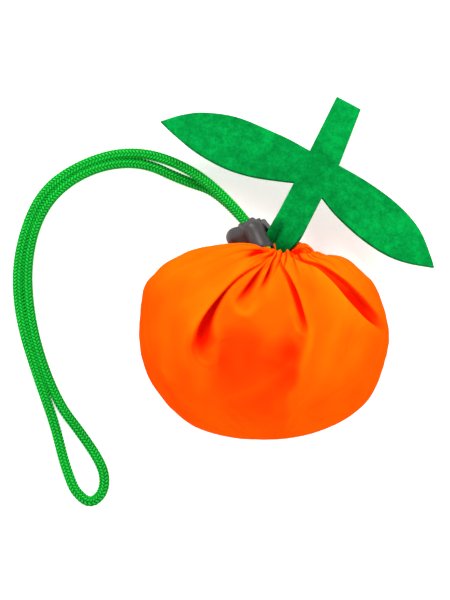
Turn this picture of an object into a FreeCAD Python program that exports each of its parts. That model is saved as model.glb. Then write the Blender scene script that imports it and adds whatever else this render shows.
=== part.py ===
"""A shopping bag folded away in a tangerine-shaped drawstring pouch, lying on its back.

Millimetres. +X is to the pouch's right, +Y towards its mouth and leaf, +Z up from the table it lies on.
The origin is the middle of the flat patch that the pouch rests on.
"""
import FreeCAD, Part
import math
import os
import Sketcher

V = FreeCAD.Vector
TURN = 360.0
HALF_TURN = 180.0

SIZES = [
    # the pouch, and the fabric it is sewn from
    ("pouch_right", 52.3), ("pouch_left", 52.4), ("pouch_back_end", 41.0), ("pouch_top", 56.0),
    ("pouch_sag", 4.0), ("pouch_middle", 26.0), ("widest_y", 4.0), ("fabric", 0.7),
    # the mouth: a gathered ring, tipped up a little from the table
    ("mouth_x", 8.4), ("mouth_y", 36.5), ("mouth_z", 30.0), ("mouth_tilt", 15.0), ("ring_radius", 8.5),
    ("rim_radius", 10.9), ("rim_set_back", 2.8),
    # the drawcord, and the channel round the mouth that it runs in
    ("cord_radius", 2.1), ("channel_gap", 0.35), ("channel_wall", 0.75), ("whipping_length", 7.0),
    ("whipping_thick", 0.25), ("whipping_angle", 290.0), ("channel_start", 250.0), ("channel_end", 490.0),
    ("stitch_slant", 55.0), ("stitch_proud", 0.2),
    # the cord lock, set square to the two cords that run through it
    ("lock_x", -5.3), ("lock_y", 47.6), ("lock_z", 22.0), ("lock_yaw", 38.0), ("lock_dip", 25.0),
    ("straight_run", 20.0), ("cord_leaves_ring", 120.0), ("low_lead", 1.0), ("high_lead", 4.0),
    ("hole_offset", 3.1), ("hole_radius", 2.3), ("eyelet_radius", 3.5), ("eyelet_in", 8.6),
    ("eyelet_out", 4.7),
    ("barrel_radius", 5.0), ("barrel_shift", -1.2), ("barrel_dome", -6.4),
    ("barrel_mouth", 3.5), ("lock_round", 0.8), ("bore_radius", 3.9), ("bore_floor", -7.3),
    ("spring_bore", 3.0), ("spring_floor", -9.0),
    ("shaft_radius", 3.82), ("shaft_foot", -4.3), ("shaft_end", 5.9), ("button_end", 7.7),
    ("button_wide", 5.6), ("button_deep", 6.4), ("button_shift", -1.2), ("button_ease", 0.4), ("travel", 2.0),
    ("slot_radius", 2.3), ("spring_radius", 2.5), ("spring_wire", 0.3), ("spring_turns", 3.0),
    ("spring_gap", 0.1), ("wire_sides", 12),
    # the stem and leaves, cut in one piece from felt
    ("felt", 2.0), ("stem_x", 9.9), ("stem_y", 46.9),
    ("stem_z", 26.4), ("stem_turn", 24.9), ("stem_dip", 22.0), ("cup_radius", 3.9), ("cup_back", 5.0),
    ("cup_front", 3.4),
    # the bag that is folded away inside
    ("pack_x", 44.0), ("pack_y", 29.5), ("pack_z", 22.5), ("pack_middle_y", -6.0), ("pack_middle_z", 25.0),
    ("layers", 8), ("layer_pitch", 5.2), ("layer_thick", 1.6), ("layer_offset", 1.15), ("fold_margin", 5.5),
    ("strap_wide", 16.0), ("strap_thick", 1.3), ("strap_drop", 14.0), ("strap_y", 27.4),
    # seams and thread
    ("seam_wide", 4.0), ("seam_thick", 1.2), ("thread_radius", 0.3), ("stitch_length", 1.7),
    ("stitches", 28), ("stem_stitch", 1.6), ("stem_stitches", 5), ("stem_stitch_step", 24.0),
    ("tether_wide", 10.0), ("tether_thick", 0.8), ("tether_y", -6.0), ("tether_start", 40.5),
    ("tether_bend", 44.5), ("tether_end", 48.8), ("tether_rise", 0.25),
]

doc = FreeCAD.newDocument("folding_bag_pouch")
sheet = doc.addObject("Spreadsheet::Sheet", "Sizes")
for row, (alias, number) in enumerate(SIZES, start=1):
    sheet.set(f"A{row}", alias)
    sheet.set(f"B{row}", str(number))
    sheet.setAlias(f"B{row}", alias)
doc.recompute()


def size(alias):
    return float(sheet.get(alias))


def bind(obj, **expressions):
    """Ties properties of an object to cells of the sheet."""
    for prop, text in expressions.items():
        obj.setExpression(prop.replace("__", "."), text)
    return obj


def vector(angle, dip=0.0):
    """A unit vector at an angle from +X in plan, dipping below the horizontal by dip, in degrees."""
    a, d = math.radians(angle), math.radians(dip)
    return V(math.cos(a) * math.cos(d), math.sin(a) * math.cos(d), -math.sin(d))


def frame_of(base, x_axis, y_axis):
    """A placement whose X and Y lie along two given directions."""
    return FreeCAD.Placement(base, FreeCAD.Rotation(x_axis, y_axis, x_axis.cross(y_axis), "XYZ"))


def solid_feature(label, shape):
    made = doc.addObject("Part::Feature", label)
    made.Label = label
    made.Shape = shape
    return made


# --- places that several pieces share -------------------------------------------------------------
MOUTH = V(size("mouth_x"), size("mouth_y"), size("mouth_z"))
TILT = math.radians(size("mouth_tilt"))
MOUTH_OUT = V(0, math.cos(TILT), math.sin(TILT))
MOUTH_UP = V(0, -math.sin(TILT), math.cos(TILT))
MOUTH_FRAME = frame_of(MOUTH, V(1, 0, 0), MOUTH_UP)      # its Z points into the pouch

PRESS = vector(size("lock_yaw"))                          # the way the button sticks out
ALONG = vector(size("lock_yaw") + 90, size("lock_dip"))   # the way the cords leave the lock
LOCK = V(size("lock_x"), size("lock_y"), size("lock_z"))
LOCK_FRAME = frame_of(LOCK, PRESS, ALONG)
LOCK_UP = PRESS.cross(ALONG)


# --- the pouch ------------------------------------------------------------------------------------
# Each meridian runs from a crest beside the mouth, over the widest place, to the far end:
# (crest across, crest y, widest across, widest y, fullness towards the mouth, fullness beyond)
MERIDIANS = {
    "right": (21.3, 40.0, size("pouch_right"), size("widest_y"), 1.75, 2.2),
    "left": (10.0, 40.6, size("pouch_left"), size("widest_y"), 2.6, 2.2),
    "front": (44.2, 32.6, size("pouch_top"), 0.0, 1.9, 2.0),
    "back": (15.5, 31.5, -size("pouch_sag"), 0.0, 2.3, 1.8),
}
LATITUDES = [0, 16, 31, 45, 58, 72, 87, 104, 122, 140, 156, 169]   # degrees, from the crest
POINTS_ROUND = 36
SHOULDER_LEAN = 5.0                                      # how far the shoulders lean over the cord lock


def meridian_point(name, latitude, middle):
    """(distance across, y) of a meridian at a latitude."""
    crest, crest_y, widest, widest_y, full_in, full_out = MERIDIANS[name]
    a = math.radians(latitude)
    if latitude <= 90:
        across = crest + (widest - crest) * math.sin(a) ** (2 / full_in)
        return across, widest_y + (crest_y - widest_y) * math.cos(a) ** (2 / full_in)
    across = middle + (widest - middle) * math.sin(a) ** (2 / full_out)
    return across, widest_y - (widest_y + size("pouch_back_end")) * (-math.cos(a)) ** (2 / full_out)


# The folds that run from the mouth over the front panel, in plan. The fabric on the left of each line
# stands proud of the fabric on its right: (line, height of the ridge, depth of the hollow, half width)
FOLDS = [
    ([(-25.0, -12.0), (-29.0, -4.0), (-27.0, 5.0), (-20.0, 16.0), (-10.0, 26.5), (2.0, 37.0)],
     1.8, 5.0, 6.0),
    ([(7.0, 36.0), (10.0, 25.0), (14.5, 13.0), (18.0, 3.0)], 1.3, 3.8, 5.0),
    ([(50.0, 2.0), (42.0, 11.5), (31.0, 22.5), (20.0, 31.0), (9.0, 36.5)], 1.4, 4.6, 6.5),
]
FOLD_MIDDLE = 0.55                                       # from a line to its ridge and hollow, in half widths
FOLD_FADE = 0.4                                          # share of the height over which folds fade in


def from_line(x, y, line):
    """Distance from a line of points, positive on its left, and the share of the way along it."""
    best, share = None, 0.0
    for k in range(len(line) - 1):
        (ax, ay), (bx, by) = line[k], line[k + 1]
        dx, dy = bx - ax, by - ay
        t = min(1.0, max(0.0, ((x - ax) * dx + (y - ay) * dy) / (dx * dx + dy * dy)))
        far = math.hypot(x - ax - t * dx, y - ay - t * dy)
        if best is None or far < abs(best):
            best = math.copysign(far, dx * (y - ay) - dy * (x - ax))
            share = (k + t) / (len(line) - 1)
    return best, share


def fold_lift(x, y, upward):
    """How far the folds lift the front panel at a place in plan."""
    fade = min(1.0, max(0.0, upward / FOLD_FADE))
    lift = 0.0
    for line, ridge, hollow, half in FOLDS:
        across, share = from_line(x, y, line)
        strength = math.sin(math.pi * share)
        up = ridge * math.exp(-(across / half - FOLD_MIDDLE) ** 2)
        down = hollow * math.exp(-(across / half + FOLD_MIDDLE) ** 2)
        lift += (up - down) * strength * fade
    return lift


def pouch_ring(latitude):
    """The points of one ring round the pouch."""
    share = latitude / HALF_TURN
    centre_x = size("mouth_x") * (1 - share) ** 2
    centre_z = size("pouch_middle") + (size("mouth_z") - size("pouch_middle")) * (1 - share) ** 2
    right, right_y = meridian_point("right", latitude, 0)
    left, left_y = meridian_point("left", latitude, 0)
    front, front_y = meridian_point("front", latitude, size("pouch_middle"))
    back, back_y = meridian_point("back", latitude, size("pouch_middle"))
    lean = SHOULDER_LEAN * max(0.0, 1 - latitude / 90)
    points = []
    for i in range(POINTS_ROUND):
        a = 2 * math.pi * i / POINTS_ROUND
        c, s = math.cos(a), math.sin(a)
        x_reach = right - centre_x if c >= 0 else centre_x + left
        z_reach = front - centre_z if s >= 0 else centre_z - back
        side_y = (right_y + left_y) / 2 + (right_y - left_y) / 2 * c
        y = side_y + (front_y - back_y) / 2 * s + ((front_y + back_y) / 2 - side_y) * s * s
        y += lean * s * c * c
        x, z = centre_x + x_reach * c, centre_z + z_reach * s
        points.append(V(x, y, z + fold_lift(x, y, s)))
    return points


def mouth_rim():
    """The gathered edge that is sewn to the channel, set back from the mouth's own plane."""
    middle = MOUTH - MOUTH_OUT * size("rim_set_back")
    points = []
    for i in range(POINTS_ROUND):
        a = 2 * math.pi * i / POINTS_ROUND
        points.append(middle + (V(1, 0, 0) * math.cos(a) + MOUTH_UP * math.sin(a)) * size("rim_radius"))
    return points


def closed_curve(points):
    curve = Part.BSplineCurve()
    even = [k / len(points) for k in range(len(points) + 1)]
    curve.interpolate(Points=points, Parameters=even, PeriodicFlag=True)
    return Part.Wire([curve.toShape()])


def inner_rings(rings, middle):
    """The same rings, moved in by the thickness of the fabric."""
    moved = []
    for k, ring in enumerate(rings):
        before, after = rings[max(k - 1, 0)], rings[min(k + 1, len(rings) - 1)]
        inner = []
        for i, point in enumerate(ring):
            across = ring[(i + 1) % len(ring)] - ring[i - 1]
            along = after[i] - before[i]
            normal = along.cross(across)
            if k == 0:
                normal = point - middle
            elif normal.dot(point - V(0, 0, size("pouch_middle"))) < 0:
                normal = -normal
            inner.append(point - normal.normalize() * size("fabric"))
        moved.append(inner)
    return moved


def pouch_solid(rings, far_end, floor):
    """The solid inside a set of rings, cut flat where it rests."""
    loft = Part.makeLoft([closed_curve(r) for r in rings] + [Part.Vertex(far_end)], True, False)
    room = Part.makeBox(200, 200, 100, V(-100, -100, floor))
    return loft.common(room)


def above_seam():
    """The half space over the seam that joins the pouch's two panels."""
    rise = math.atan2(size("mouth_z") - size("pouch_middle"), size("mouth_y") + size("pouch_back_end"))
    half = Part.makeBox(200, 200, 100, V(-100, -100, 0))
    half.rotate(V(0, 0, 0), V(1, 0, 0), math.degrees(rise))
    half.translate(V(0, -size("pouch_back_end"), size("pouch_middle")))
    return half


def make_pouch():
    rings = [mouth_rim()] + [pouch_ring(latitude) for latitude in LATITUDES]
    far = V(0, -size("pouch_back_end"), size("pouch_middle"))
    rim_middle = MOUTH - MOUTH_OUT * size("rim_set_back")
    outer = pouch_solid(rings, far, 0)
    inner = pouch_solid(inner_rings(rings, rim_middle), far + V(0, size("fabric"), 0), size("fabric"))
    shell = outer.cut(inner)
    upper = above_seam()
    front = solid_feature("pouch_front_panel", shell.common(upper))
    back = solid_feature("pouch_back_panel", shell.cut(upper))
    return front, back, inner


# --- cords and ribbons ----------------------------------------------------------------------------
def tangent_arc_path(points, radii=None):
    """Straight runs joined by tangent arcs. Without radii, each arc is as large as its runs allow."""
    edges, used = [], []
    here = points[0]
    for i in range(1, len(points) - 1):
        corner = points[i]
        back, ahead = points[i - 1] - corner, points[i + 1] - corner
        half_turn = (math.pi - back.getAngle(ahead)) / 2
        radius = radii[i - 1] if radii else 0.45 * min(back.Length, ahead.Length) / math.tan(half_turn)
        reach = radius * math.tan(half_turn)
        back.normalize()
        ahead.normalize()
        start, end = corner + back * reach, corner + ahead * reach
        inward = (back + ahead).normalize()
        middle = corner + inward * (radius / math.cos(half_turn) - radius)
        if (start - here).Length > 0.001:
            edges.append(Part.LineSegment(here, start).toShape())
        edges.append(Part.Arc(start, middle, end).toShape())
        used.append(radius)
        here = end
    edges.append(Part.LineSegment(here, points[-1]).toShape())
    return Part.Wire(edges), used


def swept(path, profile):
    return path.makePipeShell([profile], True, False)


def cord_tube(label, points, radii=None):
    path, used = tangent_arc_path(points, radii)
    first = points[1] - points[0]
    section = Part.Wire([Part.makeCircle(size("cord_radius"), points[0], first)])
    tube = swept(path, section)
    expected = math.pi * size("cord_radius") ** 2 * path.Length
    print(f"{label}: {path.Length:.0f} mm long, volume {tube.Volume / expected:.4f} of section times length")
    print("   radii:", " ".join(f"{r:.0f}" for r in used))
    return solid_feature(label, tube)


def ribbon(points, across, wide, thick, radii=None):
    """A flat ribbon that follows a path, with its width along the direction called across."""
    path, _ = tangent_arc_path(points, radii)
    first = (points[1] - points[0]).normalize()
    side, up = across * (wide / 2), first.cross(across) * (thick / 2)
    at = points[0]
    corners = [at - side - up, at + side - up, at + side + up, at - side + up]
    return swept(path, Part.makePolygon(corners + corners[:1]))


# the free cord, from the middle of the lock's upper hole round to the middle of its lower one
STRAND_UP = LOCK + LOCK_UP * size("hole_offset")
STRAND_DOWN = LOCK - LOCK_UP * size("hole_offset")
STRAIGHT = ALONG * size("straight_run")
ON_TABLE = size("cord_radius") + 0.1
CORD_ROUTE = [
    STRAND_UP, STRAND_UP + STRAIGHT,
    V(-40.5, 78.0, 5.0), V(-60.5, 81.0, 2.7), V(-79.0, 75.0, 2.4),
    V(-94.0, 64.5, ON_TABLE), V(-102.0, 47.5, ON_TABLE), V(-105.5, 28.5, ON_TABLE),
    V(-103.5, 8.0, ON_TABLE), V(-96.5, -14.5, ON_TABLE), V(-89.0, -35.5, ON_TABLE),
    V(-85.5, -50.0, ON_TABLE), V(-82.5, -59.0, ON_TABLE), V(-80.0, -64.5, ON_TABLE),
    V(-74.0, -69.5, ON_TABLE), V(-68.5, -65.0, ON_TABLE), V(-67.5, -57.5, ON_TABLE),
    V(-70.5, -50.0, ON_TABLE), V(-78.0, -39.0, ON_TABLE), V(-87.0, -27.0, ON_TABLE),
    V(-94.5, -8.0, ON_TABLE), V(-99.0, 11.5, ON_TABLE), V(-100.5, 32.0, ON_TABLE),
    V(-96.5, 51.0, ON_TABLE), V(-87.0, 65.0, ON_TABLE), V(-70.5, 74.5, ON_TABLE),
    V(-51.5, 76.5, 2.5), V(-34.0, 67.5, 4.0),
    STRAND_DOWN + STRAIGHT, STRAND_DOWN,
]


def in_mouth(across, up, out=0.0):
    """A point given in the mouth's plane, and outwards from it."""
    return MOUTH + V(1, 0, 0) * across + MOUTH_UP * up + MOUTH_OUT * out


def on_ring(angle, radius):
    a = math.radians(angle)
    return in_mouth(radius * math.cos(a), radius * math.sin(a))


def reach_mouth(point):
    """Where a cord through a point of the lock, carried back along itself, meets the mouth's plane."""
    return point - ALONG * ((point - MOUTH).dot(MOUTH_OUT) / ALONG.dot(MOUTH_OUT))


def make_cords():
    """The closed cord: its free loop, and the part that the lock and the channel hold."""
    loop = cord_tube("drawcord_loop", CORD_ROUTE)
    ring = size("ring_radius")
    # lower strand: in to the mouth's plane, then round the ring from the tangent point
    low_corner = reach_mouth(STRAND_DOWN) + ALONG * size("low_lead")
    level = low_corner - MOUTH
    across, up = level.x, level.dot(MOUTH_UP)
    low_angle = math.degrees(math.atan2(up, across)) % TURN
    low_tangent = low_angle + math.degrees(math.acos(min(1.0, ring / math.hypot(across, up))))
    # upper strand: off the ring on a tangent, and over to the line through the lock
    leave = size("cord_leaves_ring")
    a = math.radians(leave)
    tangent = V(1, 0, 0) * -math.sin(a) + MOUTH_UP * math.cos(a)
    high_corner = on_ring(leave, ring) + tangent * size("high_lead")
    high_line = reach_mouth(STRAND_UP) + ALONG * size("high_lead")
    # the corners of a polygon round the ring make its arcs
    span = TURN + leave - low_tangent
    corners = 4
    step = span / corners
    ring_corners = [on_ring(low_tangent + step * (k + 0.5), ring / math.cos(math.radians(step / 2)))
                    for k in range(corners)]
    points = [STRAND_DOWN, low_corner] + ring_corners + [high_corner, high_line, STRAND_UP]
    radii = [3.2] + [ring] * corners + [3.2, 4.5]
    return loop, cord_tube("drawcord_in_channel", points, radii)


def make_whipping():
    """A wound sleeve that joins the two ends of the cord, inside the channel."""
    half = math.degrees(size("whipping_length") / 2 / size("ring_radius"))
    start = size("whipping_angle") - half
    outer = doc.addObject("Part::Torus", "whipping_outer")
    inner = doc.addObject("Part::Torus", "whipping_inner")
    bind(outer, Radius1="Sizes.ring_radius", Radius2="Sizes.cord_radius + Sizes.whipping_thick")
    bind(inner, Radius1="Sizes.ring_radius", Radius2="Sizes.cord_radius")
    for torus in (outer, inner):
        torus.Angle3 = 2 * half
        torus.Placement = MOUTH_FRAME.multiply(FreeCAD.Placement(V(), FreeCAD.Rotation(V(0, 0, 1), start)))
    sleeve = doc.addObject("Part::Cut", "cord_whipping")
    sleeve.Base, sleeve.Tool = outer, inner
    return sleeve


# --- the channel round the mouth, and its stitches ------------------------------------------------
def make_channel():
    """A sleeve of doubled fabric, open on the side where the cords come out."""
    start, end = size("channel_start"), size("channel_end")
    outer = doc.addObject("Part::Torus", "channel_outer")
    inner = doc.addObject("Part::Torus", "channel_inner")
    bore = "Sizes.cord_radius + Sizes.channel_gap"
    bind(outer, Radius1="Sizes.ring_radius", Radius2=bore + " + Sizes.channel_wall")
    bind(inner, Radius1="Sizes.ring_radius", Radius2=bore)
    for torus in (outer, inner):
        torus.Angle3 = end - start
        torus.Placement = MOUTH_FRAME.multiply(FreeCAD.Placement(V(), FreeCAD.Rotation(V(0, 0, 1), start)))
    channel = doc.addObject("Part::Cut", "drawcord_channel")
    channel.Base, channel.Tool = outer, inner
    return channel


def stitch(middle, direction, length):
    radius = size("thread_radius")
    return Part.makeCylinder(radius, length, middle - direction * (length / 2), direction)


def make_channel_stitching():
    """One round of stitches where the channel is sewn to the pouch."""
    sleeve = size("cord_radius") + size("channel_gap") + size("channel_wall")
    slant = math.radians(size("stitch_slant"))
    sleeve += size("stitch_proud")
    reach, back = size("ring_radius") + sleeve * math.cos(slant), -sleeve * math.sin(slant)
    step = (size("channel_end") - size("channel_start")) / size("stitches")
    made = []
    for k in range(int(size("stitches"))):
        angle = math.radians(size("channel_start") + step * (k + 0.5))
        middle = in_mouth(reach * math.cos(angle), reach * math.sin(angle), back)
        along = (V(1, 0, 0) * -math.sin(angle) + MOUTH_UP * math.cos(angle)).normalize()
        made.append(stitch(middle, along, size("stitch_length")))
    return solid_feature("channel_stitching", Part.makeCompound(made))


# --- the cord lock --------------------------------------------------------------------------------
def new_body(label, placement):
    body = doc.addObject("PartDesign::Body", label)
    body.Label = label
    body.Placement = placement
    return body


def new_sketch(body, plane, name, offset=None):
    made = body.newObject("Sketcher::SketchObject", name)
    origin_plane = next(f for f in body.Origin.OriginFeatures if f.Role == plane)
    made.AttachmentSupport = [(origin_plane, "")]
    made.MapMode = "FlatFace"
    if offset:
        made.AttachmentOffset = FreeCAD.Placement(offset, FreeCAD.Rotation())
    return made


def draw_outline(sketch, points, bulges=None):
    """A closed outline through points. A bulge is a third point of the arc that leaves its point."""
    count = len(points)
    for i, point in enumerate(points):
        after = points[(i + 1) % count]
        if bulges and bulges.get(i):
            sketch.addGeometry(Part.ArcOfCircle(V(*point, 0), V(*bulges[i], 0), V(*after, 0)), False)
        else:
            sketch.addGeometry(Part.LineSegment(V(*point, 0), V(*after, 0)), False)


def draw_circle(sketch, x, y, alias):
    """A circle whose radius is bound to the sheet."""
    index = sketch.addGeometry(Part.Circle(V(x, y, 0), V(0, 0, 1), size(alias)), False)
    limit = sketch.addConstraint(Sketcher.Constraint("Radius", index, size(alias)))
    name = f"radius_{index}"
    sketch.renameConstraint(limit, name)
    sketch.setExpression("Constraints." + name, "Sizes." + alias)


def make_lock_housing():
    """A closed barrel for the spring and plunger, with an eyelet block that the two cords pass."""
    body = new_body("lock_housing", LOCK_FRAME)
    offset, r = size("hole_offset"), size("eyelet_radius")
    outline = new_sketch(body, "XZ_Plane", "eyelet_outline")
    draw_outline(outline, [(r, -offset), (r, offset), (-r, offset), (-r, -offset)],
                 {1: (0, offset + r), 3: (0, -offset - r)})
    block = body.newObject("PartDesign::Pad", "eyelet_block")
    block.Profile = outline
    block.SideType = "Two sides"
    bind(block, Length="Sizes.eyelet_in", Length2="Sizes.eyelet_out")

    shift, radius = V(0, size("barrel_shift"), 0), size("barrel_radius")
    dome, mouth = size("barrel_dome"), size("barrel_mouth")
    half = new_sketch(body, "XY_Plane", "barrel_half", shift)
    bulge = radius * math.sqrt(0.5)
    draw_outline(half, [(mouth, 0), (mouth, radius), (dome, radius), (dome - radius, 0)],
                 {2: (dome - bulge, bulge)})
    barrel = body.newObject("PartDesign::Revolution", "barrel")
    barrel.Profile = half
    barrel.ReferenceAxis = (half, ["H_Axis"])
    barrel.Angle = TURN
    doc.recompute()

    ends = []
    for k, edge in enumerate(barrel.Shape.Edges, start=1):
        box = edge.BoundBox
        local = LOCK_FRAME.inverse()
        heights = [local.multVec(body.Placement.multVec(v.Point)).y for v in edge.Vertexes]
        flat = all(min(abs(h - size("eyelet_out")), abs(h + size("eyelet_in"))) < 0.01 for h in heights)
        if flat and box.DiagonalLength > 1:
            ends.append(f"Edge{k}")
    soft = body.newObject("PartDesign::Fillet", "softened_ends")
    soft.Base = (barrel, ends)
    bind(soft, Radius="Sizes.lock_round")
    doc.recompute()

    holes = new_sketch(body, "XZ_Plane", "cord_holes")
    for side in (-1, 1):
        draw_circle(holes, 0, side * offset, "hole_radius")
    drilled = body.newObject("PartDesign::Pocket", "cord_holes_cut")
    drilled.Profile = holes
    drilled.Type = "ThroughAll"
    drilled.SideType = "Symmetric"

    wide, narrow = size("bore_radius"), size("spring_bore")
    step, floor = size("bore_floor"), size("spring_floor")
    room = new_sketch(body, "XY_Plane", "bore_half", shift)
    draw_outline(room, [(mouth + 1, 0), (mouth + 1, wide), (step, wide), (step, narrow), (floor, narrow),
                        (floor, 0)])
    bore = body.newObject("PartDesign::Groove", "bore")
    bore.Profile = room
    bore.ReferenceAxis = (room, ["H_Axis"])
    bore.Angle = TURN
    body.Tip = bore
    doc.recompute()
    print(f"lock_housing: {len(ends)} ends softened, {block.Shape.Volume:.0f} block, "
          f"{soft.Shape.Volume:.0f} whole, {drilled.Shape.Volume:.0f} drilled, {bore.Shape.Volume:.0f} bored")
    return body


def make_lock_plunger():
    """The button: a shaft with a notch for each cord, and a square head to press."""
    body = new_body("lock_plunger", LOCK_FRAME)
    shift = size("barrel_shift")
    round_part = new_sketch(body, "YZ_Plane", "shaft_outline", V(shift, 0, 0))
    draw_circle(round_part, 0, 0, "shaft_radius")
    shaft = body.newObject("PartDesign::Pad", "shaft")
    shaft.Profile = round_part
    shaft.SideType = "Two sides"
    bind(shaft, Length="Sizes.shaft_end", Length2="-Sizes.shaft_foot")

    half_wide, half_deep = size("button_wide") / 2, size("button_deep") / 2
    square = new_sketch(body, "YZ_Plane", "head_outline", V(size("button_shift"), 0, size("shaft_end")))
    draw_outline(square, [(-half_wide, -half_deep), (half_wide, -half_deep), (half_wide, half_deep),
                          (-half_wide, half_deep)])
    head = body.newObject("PartDesign::Pad", "head")
    head.Profile = square
    bind(head, Length="Sizes.button_end - Sizes.shaft_end")
    doc.recompute()

    rim = []
    for k, edge in enumerate(head.Shape.Edges, start=1):
        if all(abs(v.Point.x - size("button_end")) < 0.01 for v in edge.Vertexes):
            rim.append(f"Edge{k}")
    eased = body.newObject("PartDesign::Chamfer", "eased_rim")
    eased.Base = (head, rim)
    bind(eased, Size="Sizes.button_ease")
    doc.recompute()

    r, travel, offset = size("slot_radius"), size("travel"), size("hole_offset")
    notches = new_sketch(body, "XZ_Plane", "notch_outlines")
    for side in (-1, 1):
        z = side * offset
        draw_outline(notches, [(0, z - r), (travel, z - r), (travel, z + r), (0, z + r)],
                     {1: (travel + r, z), 3: (-r, z)})
    cut = body.newObject("PartDesign::Pocket", "notches")
    cut.Profile = notches
    cut.Type = "ThroughAll"
    cut.SideType = "Symmetric"
    body.Tip = cut
    doc.recompute()
    print(f"lock_plunger: {len(rim)} edges eased, {head.Shape.Volume:.0f} whole, "
          f"{cut.Shape.Volume:.0f} notched")
    return body


def make_lock_spring():
    """The spring between the barrel's floor and the plunger's foot."""
    wire, radius = size("spring_wire"), size("spring_radius")
    free = size("shaft_foot") - size("spring_floor") - 2 * wire - size("spring_gap")
    helix = Part.makeHelix(free / size("spring_turns"), free, radius)
    sides = int(size("wire_sides"))
    turns = [2 * math.pi * k / sides for k in range(sides + 1)]
    section = Part.makePolygon([V(radius + wire * math.cos(a), 0, wire * math.sin(a)) for a in turns])
    made = solid_feature("lock_spring", Part.Wire(helix).makePipeShell([section], True, True))
    foot = LOCK + PRESS * (size("spring_floor") + wire) + ALONG * size("barrel_shift")
    made.Placement = frame_of(foot, ALONG, LOCK_UP)
    return made


# --- the stem and leaves, cut from felt -----------------------------------------------------------
STEM_ALONG = vector(90 - size("stem_turn"), size("stem_dip"))
STEM_ACROSS = vector(-size("stem_turn"))
STEM_ROOT = V(size("stem_x"), size("stem_y"), size("stem_z"))
STEM_FRAME = frame_of(STEM_ROOT, STEM_ACROSS, STEM_ALONG)

# across and along the stem, anticlockwise from its root: each leaf is two arcs that meet at its tip
LEAF_POINTS = [
    (-6.9, 0.3), (6.4, 0.3), (7.5, 20.1), (62.5, 13.0), (8.3, 36.4), (7.2, 65.4), (-4.4, 66.0), (-5.6, 36.9),
    (-67.8, 20.9), (-6.0, 21.1),
]
LEAF_BULGES = {2: (36.0, 9.9), 3: (40.0, 31.2), 7: (-37.0, 36.9), 8: (-35.5, 13.9)}
TONGUE_POINTS = [(-2.1, -10.6), (7.0, -10.2), (6.4, -1.4), (-6.9, -1.4)]


def make_felt():
    leaf = new_body("felt_leaf", STEM_FRAME)
    outline = new_sketch(leaf, "XY_Plane", "leaf_outline")
    draw_outline(outline, LEAF_POINTS, LEAF_BULGES)
    sheet_cut = leaf.newObject("PartDesign::Pad", "felt_sheet")
    sheet_cut.Profile = outline
    sheet_cut.SideType = "Symmetric"
    bind(sheet_cut, Length="Sizes.felt")

    tongue = new_body("stem_tongue", STEM_FRAME)
    outline = new_sketch(tongue, "XY_Plane", "tongue_outline")
    draw_outline(outline, TONGUE_POINTS)
    pad = tongue.newObject("PartDesign::Pad", "tongue_sheet")
    pad.Profile = outline
    pad.SideType = "Symmetric"
    bind(pad, Length="Sizes.felt")

    # the end of the stem, rolled into a half tube and gripped by the gathered mouth
    outer = doc.addObject("Part::Cylinder", "cup_outer")
    inner = doc.addObject("Part::Cylinder", "cup_inner")
    bind(outer, Radius="Sizes.cup_radius + Sizes.felt / 2", Height="Sizes.cup_front + Sizes.cup_back")
    bind(inner, Radius="Sizes.cup_radius - Sizes.felt / 2", Height="Sizes.cup_front + Sizes.cup_back")
    for tube in (outer, inner):
        tube.Angle = HALF_TURN
        tube.Placement = frame_of(MOUTH - MOUTH_OUT * size("cup_back"), V(1, 0, 0), -MOUTH_UP)
    cup = doc.addObject("Part::Cut", "stem_cup")
    cup.Base, cup.Tool = outer, inner
    base = doc.addObject("Part::Fuse", "felt_stem_base")
    base.Base, base.Tool = tongue, cup
    return leaf, base


def make_stem_stitching():
    """Stitches that hold the rolled end of the stem to the channel."""
    felt_outside = size("cup_radius") + size("felt") / 2
    hole = size("ring_radius") - size("cord_radius") - size("channel_gap") - size("channel_wall")
    made = []
    count = int(size("stem_stitches"))
    for k in range(count):
        angle = math.radians(270 + (k - (count - 1) / 2) * size("stem_stitch_step"))
        outward = (V(1, 0, 0) * math.cos(angle) + MOUTH_UP * math.sin(angle)).normalize()
        made.append(stitch(MOUTH + outward * (felt_outside + hole) / 2, outward, size("stem_stitch")))
    return solid_feature("stem_stitching", Part.makeCompound(made))


# --- the bag that is folded away inside -----------------------------------------------------------
def serpentine(offset):
    """One side of a folded sheet, as a list of edges in the YZ plane, at an offset from the middle."""
    layers, pitch = int(size("layers")), size("layer_pitch")
    middle_y, middle_z = size("pack_middle_y"), size("pack_middle_z")
    lowest = middle_z - pitch * (layers - 1) / 2

    def reach(z):
        return size("pack_y") * math.sqrt(1 - ((z - middle_z) / size("pack_z")) ** 2) - size("fold_margin")

    edges = []
    y = middle_y + reach(lowest)
    for k in range(layers):
        way = -1 if k % 2 == 0 else 1
        z = lowest + pitch * k
        level = z + offset * way
        last = k == layers - 1
        end = middle_y + way * (reach(z) if last else min(reach(z), reach(z + pitch)))
        edges.append(Part.LineSegment(V(0, y, level), V(0, end, level)))
        if not last:
            radius, centre = pitch / 2 - offset * way, V(0, end, z + pitch / 2)
            top = V(0, end, z + pitch - offset * way)
            edges.append(Part.Arc(V(0, end, level), centre + V(0, way * radius, 0), top))
        y = end
    return edges


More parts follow.
